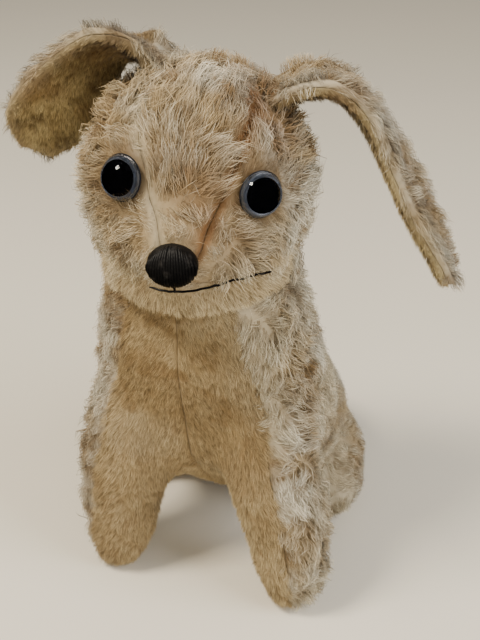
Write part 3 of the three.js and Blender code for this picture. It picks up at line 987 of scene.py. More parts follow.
    def inflate(self, piece: bpy.types.Object, owners: np.ndarray) -> None:
        """Swells the skin by pressure, held along its seams.

        Args:
            piece: the skin.
            owners: the panel of each face.
        """
        held = piece.vertex_groups.new(name="held")
        before = coordinates(piece.data)
        held.add(list(self.seam_vertices(piece, owners)), 1.0, "REPLACE")
        held.add(self.pinned(before), 1.0, "REPLACE")
        cloth = piece.modifiers.new("stuffed", "CLOTH")
        settings = cloth.settings
        settings.quality = 5
        settings.mass = 0.3
        settings.tension_stiffness = 12
        settings.compression_stiffness = 12
        settings.bending_stiffness = 0.3
        settings.use_pressure = True
        settings.uniform_pressure_force = 4
        settings.vertex_group_mass = held.name
        settings.effector_weights.gravity = 0
        cloth.point_cache.frame_start = 1
        cloth.point_cache.frame_end = 20
        for number in range(1, 21):
            bpy.context.scene.frame_set(number)
        apply_modifiers(piece)
        bpy.context.scene.frame_set(1)
        moved = coordinates(piece.data) - before
        far = np.linalg.norm(moved, axis=1, keepdims=True)
        moved *= np.minimum(1, self.swell * MM / np.maximum(far, 1e-9))
        piece.data.vertices.foreach_set("co", (before + moved).astype(np.float32).ravel())
        piece.data.update()
        log.info("%s swelled by up to %.1f mm", self.name, far.max() / MM)

    def pinned(self, points: np.ndarray) -> list[int]:
        """The vertices that stay put besides the seams: those on the floor and at the neck.

        Args:
            points: rows of three, in metres.

        Returns:
            Their indices.
        """
        still = (points[:, 2] < 3 * MM) | (np.abs(points[:, 2] - NECK.z) < 5 * MM)
        return np.nonzero(still)[0].tolist()

    def refine(self, piece: bpy.types.Object) -> None:
        """Makes the skin's mesh finer and its surface even.

        Args:
            piece: the skin.
        """
        finer = piece.modifiers.new("finer", "SUBSURF")
        finer.levels = finer.render_levels = 1
        apply_modifiers(piece)
        points, normals = coordinates(piece.data), normals_of(piece.data)
        ripple = drift(points, 0.012, self.seed)[:, :1] * 0.35 * MM
        on_floor = points[:, 2] < 2 * MM
        points += normals * np.where(on_floor[:, None], 0, ripple)
        piece.data.vertices.foreach_set("co", points.astype(np.float32).ravel())
        piece.data.update()

    def trace_seams(self, piece: bpy.types.Object, owners: np.ndarray) -> None:
        """Evens the seams' lines and sinks each into a valley.

        Args:
            piece: the skin.
            owners: the panel of each face.
        """
        meeting = self.seam_vertices(piece, owners)
        mesh = piece.data
        points, normals = coordinates(mesh), normals_of(mesh)
        shape = BVHTree.FromPolygons(points.tolist(), [tuple(p.vertices) for p in mesh.polygons])
        beside: dict[int, list[int]] = {vertex: [] for vertex in meeting}
        edge_faces: dict[tuple[int, int], list[int]] = {}
        for polygon in mesh.polygons:
            for key in polygon.edge_keys:
                edge_faces.setdefault(key, []).append(polygon.index)
        for (a, b), faces in edge_faces.items():
            if len(faces) == 2 and owners[faces[0]] != owners[faces[1]]:
                beside[a].append(b)
                beside[b].append(a)
        for _ in range(10):
            for vertex, near in beside.items():
                if len(near) == 2:
                    points[vertex] = (points[vertex] * 2 + points[near[0]] + points[near[1]]) / 4
        for vertex in meeting:
            points[vertex] = shape.find_nearest(points[vertex].tolist())[0]
        tree = KDTree(len(meeting))
        for vertex in meeting:
            tree.insert(points[vertex].tolist(), vertex)
        tree.balance()
        reach = np.array([tree.find(point)[2] for point in points.tolist()])
        valley = self.valley * MM * np.exp(-((reach / (2.2 * MM)) ** 2))
        points -= normals * np.where(points[:, 2] < 2 * MM, 0, valley)[:, None]
        mesh.vertices.foreach_set("co", points.astype(np.float32).ravel())
        mesh.update()
        names = [panel.node for panel in self.panels]
        grouped: dict[frozenset[str], list[np.ndarray]] = {}
        for vertex, panels in meeting.items():
            key = frozenset(names[index] for index in panels)
            grouped.setdefault(key, []).append(points[vertex])
        self.seam_points = {key: np.array(rows) for key, rows in grouped.items()}

    def split(self, piece: bpy.types.Object, owners: np.ndarray) -> None:
        """Cuts the skin along its seams into one sheet of cloth for each panel.

        Args:
            piece: the skin.
            owners: the panel of each face.
        """
        for index, panel in enumerate(self.panels):
            work = bmesh.new()
            work.from_mesh(piece.data)
            work.faces.ensure_lookup_table()
            away = [face for face in work.faces if owners[face.index] != index]
            bmesh.ops.delete(work, geom=away, context="FACES")
            edge = [vert for vert in work.verts if vert.is_boundary]
            for vert in edge:
                inward = sum((e.other_vert(vert).co - vert.co for e in vert.link_edges), Vector())
                if inward.length > 0:
                    vert.co += inward.normalized() * 0.12 * MM
            mesh = bpy.data.meshes.new(f"{panel.node}_cloth")
            work.to_mesh(mesh)
            work.free()
            sheet = bpy.data.objects.new(mesh.name, mesh)
            bpy.context.scene.collection.objects.link(sheet)
            self.skins[panel.node] = sheet

    def fill(self) -> None:
        """Packs the bag with a filling just inside its cloth, with room for what is within."""
        piece = self.surface.copy()
        piece.data = self.surface.data.copy()
        piece.name = f"{self.filling}_packed"
        bpy.context.scene.collection.objects.link(piece)
        points, normals = coordinates(piece.data), normals_of(piece.data)
        lumps = drift(points, 0.009, self.seed + 5.0)[:, :1] * 0.3 * MM
        points -= normals * (1.9 * MM + lumps)
        piece.data.vertices.foreach_set("co", points.astype(np.float32).ravel())
        piece.data.update()
        for room in self.rooms():
            cut = piece.modifiers.new("room", "BOOLEAN")
            cut.object = room
            cut.operation = "DIFFERENCE"
            cut.solver = "EXACT"
            apply_modifiers(piece)
            bpy.data.objects.remove(room)
        piece.data.materials.append(stuffing_finish())
        piece.data.shade_smooth()
        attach(piece, self.body)
        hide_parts(self.filling)

    def rooms(self) -> list[bpy.types.Object]:
        """What the filling leaves free.

        Returns:
            Closed objects to cut out of it.
        """
        return []

    # -- the pile --

    def comb(self, points: np.ndarray, panel: Panel) -> np.ndarray:
        """The way the cloth is combed at each point.

        Args:
            points: rows of three, in metres.
            panel: the panel that they are on.

        Returns:
            A direction for each point.
        """
        return np.tile(-np.array(UP), (len(points), 1))

    def trim(self, points: np.ndarray, panel: Panel) -> np.ndarray:
        """The pile's length at each point, as a share: 0 leaves the cloth bare.

        Args:
            points: rows of three, in metres.
            panel: the panel that they are on.

        Returns:
            A share for each point.
        """
        return np.ones(len(points))

    def stains_and_painted_light(self, points: np.ndarray, panel: Panel) -> np.ndarray:
        """The marks at each point: rust, cream and dirt, with painted light and painted shade.

        Args:
            points: rows of three, in metres.
            panel: the panel that they are on.

        Returns:
            Rows of rust, cream and soot, each from 0 to 1; the cream also carries painted light and the soot painted
            shade.
        """
        return np.zeros((len(points), 3))

    def near_seam(self, points: np.ndarray, first: str, second: str, width: float) -> np.ndarray:
        """How near each point is to the seam between two panels.

        Args:
            points: rows of three, in metres.
            first: a panel's node.
            second: the other panel's node.
            width: the distance in millimetres at which it has faded.

        Returns:
            One on the seam, falling to zero.
        """
        rows = self.seam_points.get(frozenset((first, second)))
        if rows is None:
            return np.zeros(len(points))
        tree = KDTree(len(rows))
        for index, row in enumerate(rows.tolist()):
            tree.insert(row, index)
        tree.balance()
        gaps = np.array([tree.find(point)[2] for point in points.tolist()])
        return np.exp(-((gaps / (width * MM)) ** 2))

    def settle(self, piece: bpy.types.Object) -> None:
        """Makes a piece move with the bag.

        Args:
            piece: the finished piece.
        """
        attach(piece, self.body)

    def dress(self, finishes: dict[Cloth, bpy.types.Material]) -> None:
        """Stands the pile on each panel, gives the cloth its finish and hands every piece over.

        Args:
            finishes: the finish of each cloth.
        """
        for number, panel in enumerate(self.panels):
            rng = np.random.default_rng(self.seed * 100 + number)
            sheet, pile = self.skins[panel.node], PILES[panel.cloth]
            points, normals = scatter(sheet, pile.density, rng)
            length = self.trim(points, panel)
            kept = rng.random(len(points)) < np.clip(length * 3, 0, 1)
            points, normals, length = points[kept], normals[kept], length[kept]
            roots = Roots(points, normals, along_surface(self.comb(points, panel), normals), length,
                          self.stains_and_painted_light(points, panel))
            lines, tuft = strand_lines(roots, pile, self.lowest * MM, rng)
            triangles = 10 if pile.bends else 4
            parts = math.ceil(len(points) * triangles / MOST_TRIANGLES)
            order = np.argsort(points[:, 2])
            for part, rows in enumerate(np.array_split(order, parts)):
                name = f"{panel.node}_pile" + (f"_{part + 1}" if parts > 1 else "")
                hair = strand_mesh(name, [row[rows] for row in lines], tuft[rows], roots.part(rows),
                                   pile.width * MM, rng)
                hair.data.materials.append(finishes[panel.cloth])
                self.settle(hair)
            self.finish_sheet(sheet, panel, finishes[panel.cloth])

    def finish_sheet(self, sheet: bpy.types.Object, panel: Panel, finish: bpy.types.Material) -> None:
        """Gives a sheet of cloth its thickness and its finish, and hands it over.

        Args:
            sheet: the sheet.
            panel: its panel.
            finish: its material.
        """
        thick = sheet.modifiers.new("thickness", "SOLIDIFY")
        thick.thickness = self.backing * MM
        thick.offset = -1
        apply_modifiers(sheet)
        points = coordinates(sheet.data)
        # The backing takes much of the darker foot colour: the cloth's darker roots and painted shade deep in the
        # pile.
        strand = np.tile(np.array([0.45, 0.4, 0.3]), (len(points), 1))
        store(sheet, "strand", strand)
        store(sheet, "stain_and_painted_light", self.stains_and_painted_light(points, panel))
        sheet.data.materials.append(finish)
        sheet.data.shade_smooth()
        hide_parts(panel.node)
        self.settle(sheet)


def stuffing_finish() -> bpy.types.Material:
    """Pale packed wood wool.

    Returns:
        The material.
    """
    finish = Finish("stuffing", roughness=0.95)
    fibres = finish.noise(900, detail=5, roughness=0.7)
    finish.color(finish.mix(finish.ramp(fibres, 0.35, 0.65), tone(176, 152, 104), tone(226, 210, 168)))
    finish.bump(fibres, 0.6 * MM)
    return finish.material


@dataclass
class Trunk(Bag):
    """The trunk with its legs and haunches."""

    def depth(self, points: np.ndarray, normals: np.ndarray) -> np.ndarray:
        """Keeps the cloth up at the neck's joint."""
        return super().depth(points, normals) * neck_share(points)

    def rooms(self) -> list[bpy.types.Object]:
        """Room for the lower half of the neck's joint."""
        return joint_rooms("neck_disc_body", below=True)

    def comb(self, points: np.ndarray, panel: Panel) -> np.ndarray:
        """Combed down, and outwards over the chest and the flanks."""
        aside = points[:, :1] - NECK.x
        out = np.concatenate([np.sign(aside), np.zeros((len(points), 2))], axis=1)
        down = -np.array(UP)
        if panel.node.startswith("side"):
            return down + out * 0.15 + np.array([0, 0.45, 0])
        if panel.node == "belly_panel":
            return np.tile(np.array([0, 1.0, -0.2]), (len(points), 1))
        return down + out * 0.45

    def trim(self, points: np.ndarray, panel: Panel) -> np.ndarray:
        """Shorter at the neck and under the feet."""
        neck_gap = (NECK.z - points[:, 2]) / MM
        length = 0.8 + 0.2 * smooth_step(0, 12, neck_gap)
        if panel.cloth is Cloth.MOHAIR:
            length *= 1 - 0.5 * smooth_step(0, 40, (points[:, 1] - NECK.y) / MM)
            length *= 1 - 0.45 * self.near_seam(points, panel.node, panel.node.replace("side", "chest"), 9)
        elif panel.node.startswith("chest"):
            length *= 1 + 0.5 * self.near_seam(points, panel.node, panel.node.replace("chest", "side"), 6)
        length *= 0.35 + 0.65 * smooth_step(0.5, 9, points[:, 2] / MM)
        within = np.linalg.norm(points[:, :2] - np.array(NECK)[:2], axis=1) / MM
        hidden = (neck_gap < 2.5) & (within < 30)
        return np.where(hidden, 0, length)

    def stains_and_painted_light(self, points: np.ndarray, panel: Panel) -> np.ndarray:
        """Painted light on the left flank and painted shade on the right flank; on the chest, the painted shadow of
        the head, darker high up and paler low down, painted shade towards its right, and faded patches; dirt in
        patches on the left flank and the chest.
        """
        rust, cream, soot_and_painted_shade = np.zeros((3, len(points)))
        wander = drift(points, 0.028, 4.0)[:, 0]
        aside = (points[:, 0] - NECK.x) / MM
        if panel.node == "side_panel_left":
            # Paler over most of the left flank: painted light from the right.
            cream = smooth_step(-0.1, 0.5, wander + 0.3) * 0.8
            soot_and_painted_shade = smooth_step(0.34, 0.55, drift(points, 0.009, 8.0)[:, 1]) * 0.55
        if panel.node == "side_panel_right":
            # Darker in broad patches over the right flank: painted shade.
            soot_and_painted_shade = smooth_step(-0.2, 0.4, wander) * 0.35
        if panel.node.startswith("chest"):
            # Paler low down and darker high up under the head: painted shadow of the head. Darker towards the right:
            # painted shade. The rest is faded and dirty patches.
            height = smooth_step(40, 110, points[:, 2] / MM)
            cream = smooth_step(0.1, 0.5, wander) * 0.2 + (1 - height) * 0.12
            soot_and_painted_shade = smooth_step(0.15, 0.5, -wander) * 0.1 + height * 0.16 + smooth_step(20, 40, -aside) * 0.06
        return np.stack([rust, cream, soot_and_painted_shade], axis=1)


@dataclass
class Head(Bag):
    """The head, with its gusset, its sides and its chin."""

    def eyes(self) -> list[Vector]:
        """The middle of each eye."""
        return [middle(f"eye_pupil_{side}") for side in ("left", "right")]

    def eye_gap(self, points: np.ndarray) -> np.ndarray:
        """The distance from each point to the nearer eye, in millimetres."""
        gaps = [np.linalg.norm(points - np.array(eye), axis=1) for eye in self.eyes()]
        return np.minimum(*gaps) / MM

    def nose_gap(self, points: np.ndarray) -> np.ndarray:
        """The distance from each point to the middle of the nose, in millimetres."""
        return np.linalg.norm(points - np.array(middle("nose_stitches")), axis=1) / MM

    def mouth_gap(self, points: np.ndarray) -> np.ndarray:
        """The distance from each point to the line of the mouth, in millimetres."""
        rows = np.array([list(v.co) for v in frame["nodes"]["mouth_stitches"].data.vertices])
        tree = KDTree(len(rows))
        for index, row in enumerate(rows.tolist()):
            tree.insert(row, index)
        tree.balance()
        return np.array([tree.find(point)[2] for point in points.tolist()]) / MM

    def depth(self, points: np.ndarray, normals: np.ndarray) -> np.ndarray:
        """Keeps the cloth up behind the eyes, the nose and the mouth."""
        share = super().depth(points, normals) * neck_share(points)
        share *= 0.25 + 0.75 * smooth_step(8, 17, self.eye_gap(points))
        share *= 0.25 + 0.75 * smooth_step(8, 20, self.nose_gap(points))
        return share * (0.3 + 0.7 * smooth_step(1, 7, self.mouth_gap(points)))

    def rooms(self) -> list[bpy.types.Object]:
        """Room for the upper half of the neck's joint."""
        return joint_rooms("neck_disc_head", below=False)

    def comb(self, points: np.ndarray, panel: Panel) -> np.ndarray:
        """Combed away from the nose, and down on the cheeks."""
        away = unit(points - np.array(middle("nose_stitches")))
        height = smooth_step(0, 60, (points[:, 2] - NECK.z) / MM)[:, None]
        return away - np.array(UP) * (0.9 - 0.8 * height)

    def trim(self, points: np.ndarray, panel: Panel) -> np.ndarray:
        """Short on the muzzle and round the eyes, and cut away under the eyes and the nose."""
        eye, nose = self.eye_gap(points), self.nose_gap(points)
        length = 0.5 + 0.5 * smooth_step(8, 18, eye)
        length *= 0.5 + 0.5 * smooth_step(9, 28, nose)
        length *= 0.7 + 0.3 * smooth_step(0.5, 6, self.mouth_gap(points))
        length *= 0.8 + 0.2 * smooth_step(0, 14, (points[:, 2] - NECK.z) / MM)
        ahead = smooth_step(8, 22, ((points - np.array(NECK)) @ -np.array(HEAD_BACK)) / MM)
        worn = self.near_seam(points, "head_gusset", "head_side_right", 2.6)
        worn += self.near_seam(points, "head_gusset", "head_side_left", 2.6)
        length *= 1 - 0.75 * ahead * np.minimum(worn, 1)
        if panel.cloth is Cloth.PLUSH:
            length *= 1.5
        within = np.linalg.norm(points[:, :2] - np.array(NECK)[:2], axis=1) / MM
        hidden = (points[:, 2] < NECK.z + 2.5 * MM) & (within < 27)
        return np.where((eye < 7.4) | (nose < 7.3) | hidden, 0, length)

    def stains_and_painted_light(self, points: np.ndarray, panel: Panel) -> np.ndarray:
        """Rust along the left seam of the gusset, a bare pale ridge along the right one, and painted shade round the
        eyes and along the mouth.
        """
        ahead = smooth_step(-6, 14, ((points - np.array(NECK)) @ -np.array(HEAD_BACK)) / MM)
        left = self.near_seam(points, "head_gusset", "head_side_left", 1.9)
        right = self.near_seam(points, "head_gusset", "head_side_right", 2.6)
        patch = smooth_step(0.0, 0.4, drift(points, 0.014, 2.0)[:, 0])
        wide = self.near_seam(points, "head_gusset", "head_side_left", 11.0)
        crown = np.array(joint_place("ear_left_flop"))
        by_ear = np.exp(-((np.linalg.norm(points - crown, axis=1) / (20 * MM)) ** 2))
        rust = np.clip(left * ahead * 1.0 + wide * ahead * (0.12 + patch * 0.4) + by_ear * 0.22, 0, 1)
        cheek = smooth_step(48, 14, (points[:, 2] - NECK.z) / MM)
        cream = right * ahead + cheek * (0.15 + 0.45 * smooth_step(-0.2, 0.3, drift(points, 0.02, 6.0)[:, 1]))
        eye = self.eye_gap(points)
        # Darker round the eyes and along the mouth: painted shade. Darker along the left seam of the gusset: a dark
        # seam.
        soot_and_painted_shade = 0.9 * np.exp(-(np.maximum(eye - 8.5, 0) / 2.2))
        soot_and_painted_shade += 0.5 * np.exp(-((self.mouth_gap(points) / 2.0) ** 2))
        soot_and_painted_shade += 0.7 * ahead * self.near_seam(points, "head_gusset", "head_side_left", 0.8)
        behind = smooth_step(4, 26, ((points - np.array(NECK)) @ np.array(HEAD_BACK)) / MM)
        if panel.node == "head_side_left":
            rust += behind * 0.25
        if panel.node == "chin_panel":
            cream = 0.35 + 0.4 * patch
        return np.clip(np.stack([rust, cream, soot_and_painted_shade], axis=1), 0, 1)


@dataclass
class Ear(Bag):
    """An ear: two leaves of cloth on a soft root that is sewn to the head.

    Attributes:
        joint: the joint that it flops on.
        reach: how far the root is drawn in to meet the head, in millimetres.
        roll: how far its front edge curls over, in millimetres.
    """

    joint: str = ""
    reach: float = 9.0
    roll: float = 0.0

    def tip(self) -> Vector:
        """The middle of the ear's box, which is out along the ear from its root."""
        return middle(self.panels[0].node)

    def closed_skin(self) -> bpy.types.Object:
        """The ear's skin, with its root drawn in to the head."""
        piece = super().closed_skin()
        points = coordinates(piece.data)
        root = np.array(joint_place(self.joint))
        inward = unit(np.array([list(NECK + UP * 0.037)]) - root)[0]
        gap = np.linalg.norm(points - root, axis=1) / MM
        pull = (1 - smooth_step(2, 22, gap)) * self.reach * MM
        points += inward * pull[:, None]
        piece.data.vertices.foreach_set("co", points.astype(np.float32).ravel())
        piece.data.update()
        return piece

    def split(self, piece: bpy.types.Object, owners: np.ndarray) -> None:
        """Splits the ear into its leaves, then rolls their front edge over the outside."""
        super().split(piece, owners)
        for sheet in self.skins.values():
            points = coordinates(sheet.data)
            sheet.data.vertices.foreach_set("co", self.rolled(points).astype(np.float32).ravel())
            sheet.data.update()
        self.seam_points = {key: self.rolled(rows) for key, rows in self.seam_points.items()}

    def rolled(self, points: np.ndarray) -> np.ndarray:
        """Points moved with the front edge, as it curls up over the ear's outside.

        Args:
            points: rows of three, in metres.

        Returns:
            The moved points.
        """
        front = np.array(self.tip()) @ np.array(HEAD_BACK) - points @ np.array(HEAD_BACK)
        out_along = smooth_step(12, 34, np.linalg.norm(points - np.array(joint_place(self.joint)), axis=1) / MM)
        lift = self.roll * MM * smooth_step(1, 15, front / MM) * out_along
        return points + (np.array(HEAD_LEFT) * 0.86 + np.array(UP) * 0.5) * lift[:, None]

    def comb(self, points: np.ndarray, panel: Panel) -> np.ndarray:
        """Combed from the root towards the tip, and down."""
        away = unit(points - np.array(joint_place(self.joint)))
        return away * 0.8 - np.array(UP) * 0.7

    def trim(self, points: np.ndarray, panel: Panel) -> np.ndarray:
        """Shorter than on the head, and shortest along the sewn edge."""
        outer, lining = (each.node for each in self.panels)
        edge = self.near_seam(points, outer, lining, 3.0)
        longest = 0.68 if panel.cloth is Cloth.MOHAIR else 1.0
        return longest * (1 - 0.2 * edge)

    def stains_and_painted_light(self, points: np.ndarray, panel: Panel) -> np.ndarray:
        """Pale along the sewn edge, painted shade in the lining's hollow by the root, and darker patches outside."""
        outer, lining = (each.node for each in self.panels)
        edge = self.near_seam(points, outer, lining, 3.5)
        gap = np.linalg.norm(points - np.array(joint_place(self.joint)), axis=1) / MM
        hollow = 1 - smooth_step(10, 42, gap)
        patch = smooth_step(0.0, 0.4, drift(points, 0.016, self.seed)[:, 0])
        lined = panel.cloth is Cloth.LINING
        # The lining's hollow by the root: painted shade. Outside: darker in patches.
        soot_and_painted_shade = hollow * 0.55 if lined else 0.15 + 0.35 * patch
        pale = edge * (0.35 if lined else 0.6)
        return np.stack([0.25 * patch, pale, np.broadcast_to(soot_and_painted_shade, patch.shape)], axis=1)

    def settle(self, piece: bpy.types.Object) -> None:
        """Bakes the piece's place into its mesh and leaves it unattached."""
        root = joint_place(self.joint)
        out = (self.tip() - root).normalized()
        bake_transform(piece)


@dataclass
class Tail(Bag):
    """The tail, a soft finger whose root is sewn to the rump."""

    def closed_skin(self) -> bpy.types.Object:
        """The tail's skin, with its root drawn in to the rump."""
        piece = super().closed_skin()
        points = coordinates(piece.data)
        out = (points[:, 1] - joint_place("tail_flex").y) / MM
        points[:, 1] -= (1 - smooth_step(-3, 12, out)) * 7 * MM
        piece.data.vertices.foreach_set("co", points.astype(np.float32).ravel())
        piece.data.update()
        return piece

    def settle(self, piece: bpy.types.Object) -> None:
        """Bakes the piece's place into its mesh and leaves it unattached."""
        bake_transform(piece)

    def pinned(self, points: np.ndarray) -> list[int]:
        """The round root, which turns against the rump."""
        return np.nonzero(points[:, 1] < joint_place("tail_flex").y)[0].tolist()

    def comb(self, points: np.ndarray, panel: Panel) -> np.ndarray:
        """Combed towards the tip."""
        return np.tile(np.array([0, 1.0, 0.25]), (len(points), 1))

    def trim(self, points: np.ndarray, panel: Panel) -> np.ndarray:
        """Shorter at the root."""
        out = (points[:, 1] - joint_place("tail_flex").y) / MM
        return 0.34 + 0.16 * smooth_step(-4, 12, out)


def neck_share(points: np.ndarray) -> np.ndarray:
    """How much of the sink a skin takes near the neck: little at the seam.

    Args:
        points: rows of three, in metres.

    Returns:
        A share for each point.
    """
    return 0.12 + 0.88 * smooth_step(1, 13, np.abs(points[:, 2] - NECK.z) / MM)


def joint_rooms(disc: str, below: bool) -> list[bpy.types.Object]:
    """The space that a filling leaves free for one half of the neck's joint.

    Args:
        disc: the node of that half's disc.
        below: whether it lies under the neck's seam.

    Returns:
        Closed objects to cut out of the filling.
    """
    low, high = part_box(disc)
    pin_low, pin_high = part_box("neck_split_pin")
    radius = (high.x - low.x) / 2 + 0.6 * MM
    far = pin_low.z - MM if below else pin_high.z + MM
    found = []
    for width, end in ((radius, (low.z - 2.4 * MM) if below else (high.z + 2.4 * MM)), (9.5 * MM, far)):
        bottom, top = min(NECK.z, end), max(NECK.z, end)
        start = -4 * MM if not below else 0
        deselect()
        bpy.ops.mesh.primitive_cylinder_add(
            vertices=48, radius=width, depth=top - bottom + 4 * MM,
            location=(NECK.x, NECK.y, (bottom + top) / 2 + (2 * MM if below else start / 2)))
        found.append(bpy.context.object)
    return found


# ---- Eyes ----


@dataclass
class GlassEye:
    """A glass eye: a clear dome over a black pupil and an enamelled ring. Sizes in millimetres.

    Attributes:
        side: left or right.
        radius: of the dome at its foot.
        dome: how high the dome stands over its foot.
        pupil: the pupil's radius.
        foot: from the middle of the CAD pupil out to the dome's foot.
        fused: how far the ring and the pupil stand inside the glass.
    """

    side: str
    radius: float = 7.6
    dome: float = 5.8
    pupil: float = 5.1
    foot: float = -0.25
    fused: float = 0.55

    def seat(self) -> Matrix:
        """Where the eye sits: its middle, with Z looking out."""
        points = coordinates(frame["nodes"][f"eye_pupil_{self.side}"].data)
        centre = (points.max(0) + points.min(0)) / 2
        axis = Vector(np.linalg.svd(points - centre, full_matrices=False)[2][2])
        skull = NECK + UP * 0.037
        if axis.dot(Vector(centre) - skull) < 0:
            axis.negate()
        return Matrix.Translation(Vector(centre)) @ axis.to_track_quat("Z", "Y").to_matrix().to_4x4()

    def place(self, piece: bpy.types.Object, node: str, slot: str) -> None:
        """Puts a piece made about the origin into its seat, and hands it over."""
        piece.data.transform(self.seat())
        piece.data.shade_smooth()
        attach(piece, "head")
        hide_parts(f"{node}_{self.side}")

    def dome_piece(self) -> bpy.types.Object:
        """The clear dome: the cap of a ball, with its foot filled and its rim rounded."""
        curve = (self.radius**2 + self.dome**2) / (2 * self.dome)
        deselect()
        bpy.ops.mesh.primitive_uv_sphere_add(segments=64, ring_count=48, radius=curve * MM)
        piece = bpy.context.object
        piece.name = f"eye_dome_{self.side}"
        bpy.ops.object.mode_set(mode="EDIT")
        bpy.ops.mesh.select_all(action="SELECT")
        bpy.ops.mesh.bisect(plane_co=(0, 0, (curve - self.dome) * MM), plane_no=(0, 0, 1),
                            use_fill=True, clear_inner=True)
        bpy.ops.object.mode_set(mode="OBJECT")
        piece.data.transform(Matrix.Translation((0, 0, (self.foot + self.dome - curve) * MM)))
        rim = piece.modifiers.new("rounded rim", "BEVEL")
        rim.width, rim.segments, rim.limit_method, rim.angle_limit = 0.35 * MM, 3, "ANGLE", math.radians(40)
        apply_modifiers(piece)
        return piece

    def turned(self, name: str, outline: Sequence[tuple[float, float]]) -> bpy.types.Object:
        """A piece turned about the eye's axis.

        Args:
            name: the piece's name.
            outline: radius and height in millimetres, from the axis out, over and back to it.

        Returns:
            The object, with the share of the radius kept at each vertex.
        """
        around = 64
        points, rows = [], []
        for radius, height in outline:
            ends = around if radius > 0 else 1
            rows.append(range(len(points), len(points) + ends))
            points += [(radius * MM * math.cos(2 * math.pi * k / around),
                        radius * MM * math.sin(2 * math.pi * k / around), height * MM) for k in range(ends)]
        faces = []
        for low, high in zip(rows, rows[1:]):
            for k in range(around):
                n = (k + 1) % around
                if len(low) == 1:
                    faces.append((low[0], high[n], high[k]))
                elif len(high) == 1:
                    faces.append((low[k], low[n], high[0]))
                else:
                    faces += [(low[k], low[n], high[n]), (low[k], high[n], high[k])]
        rows_of = np.array(points)
        piece = object_from(f"{name}_{self.side}", rows_of, np.array(faces))
        share = np.linalg.norm(rows_of[:, :2], axis=1) / (self.radius * MM)
        store(piece, "ring", np.stack([share, share, share], axis=1))
        return piece

    def build(self) -> None:
        """Builds and dresses the eye."""
        foot, top = self.foot, self.foot + self.fused
        wide, within = self.radius + 0.15, self.radius - 0.45
        back = self.turned("eye_enamel", [
            (0, foot - 1.6), (self.radius * 0.55, foot - 1.3), (self.radius * 0.92, foot - 0.7),
            (wide, foot - 0.3), (wide, foot), (within, foot), (within, top), (self.pupil, top), (0, top)])
        pupil = self.turned("eye_black", [
            (0, top - 0.02), (self.pupil, top - 0.02), (self.pupil, top + 0.06),
            (self.pupil * 0.7, top + 0.2), (0, top + 0.3)])
        dome = self.dome_piece()
        for piece, finish, node, slot in (
            (back, enamel_finish(), "eye_back", "enamelled_glass"),
            (pupil, pupil_finish(), "eye_pupil", "black_glass"),
            (dome, glass_finish(), "eye_glass", "clear_glass"),
        ):
            piece.data.materials.append(finish)
            self.place(piece, node, slot)
        log.info("eye %s: dome, pupil and enamelled ring", self.side)


def enamel_finish() -> bpy.types.Material:
    """Blue grey enamel that darkens towards the rim.

    Returns:
        The material.
    """
    finish = Finish("enamel ring", roughness=0.28)
    ring = finish.node("ShaderNodeAttribute", attribute_name="ring")
    split = finish.node("ShaderNodeSeparateXYZ")
    finish.join(ring.outputs["Vector"], split.inputs[0])
    clouds = finish.mix(finish.noise(700), tone(40, 45, 56), tone(56, 63, 76))
    finish.color(finish.mix(finish.ramp(split.outputs[0], 0.78, 0.93), clouds, tone(22, 24, 30)))
    return finish.material


def pupil_finish() -> bpy.types.Material:
    """Black glass with the faintest cloud in it.

    Returns:
        The material.
    """
    finish = Finish("black glass", roughness=0.5).set("Specular IOR Level", 0.0)
    finish.color(finish.mix(finish.noise(500), tone(2, 2, 3), tone(6, 6, 8)))
    return finish.material


def glass_finish() -> bpy.types.Material:
    """Clear glass, faintly smeared by handling.

    Returns:
        The material.
    """
    finish = Finish("clear glass", roughness=0.01)
    finish.set("Transmission Weight", 1.0).set("IOR", 1.34)
    smears = finish.ramp(finish.noise(260, detail=4), 0.45, 0.8)
    finish.color(finish.mix(smears, (0.97, 0.98, 1.0), (0.9, 0.93, 0.96)))
    return finish.material


# ---- Nose and mouth ----


def thread_piece(name: str, paths: Sequence[np.ndarray], radius: float) -> bpy.types.Object:
    """Round threads along paths, with closed round ends.

    Args:
        name: the piece's name.
        paths: for each thread, its points in metres.
        radius: the threads' radius in metres.

    Returns:
        The object, with how far round and along each vertex is.
    """
    around = 8
    points, faces, twist = [], [], []
    for path in paths:
        first = len(points)
        ahead = unit(np.gradient(path, axis=0))
        side = np.cross(ahead[0], (0.3, 0.2, 1.0))
        run = np.concatenate([[0], np.cumsum(np.linalg.norm(np.diff(path, axis=0), axis=1))])
        ends = len(path) - 1
        for index, (spot, forward) in enumerate(zip(path, ahead)):
            side = unit((side - forward * side.dot(forward))[None])[0]
            other = np.cross(forward, side)
            width = radius * (0.55 if index in (0, ends) else 1)
            for k in range(around):
                angle = 2 * math.pi * k / around
                points.append(spot + (side * math.cos(angle) + other * math.sin(angle)) * width)
                twist.append((k / around, run[index] / MM, 0))
        for ring in range(ends):
            for k in range(around):
                a, b = first + ring * around + k, first + ring * around + (k + 1) % around
                faces += [(a, b, b + around), (a, b + around, a + around)]
        tail = len(points)
        points += [path[0] - ahead[0] * radius * 0.5, path[-1] + ahead[-1] * radius * 0.5]
        twist += [(0, 0, 0), (0, run[-1] / MM, 0)]
        last = first + ends * around
        for k in range(around):
            n = (k + 1) % around
            faces += [(tail, first + n, first + k), (tail + 1, last + k, last + n)]
    piece = object_from(name, np.array(points), np.array(faces))
    store(piece, "twist", np.array(twist))
    piece.data.shade_smooth()
    return piece


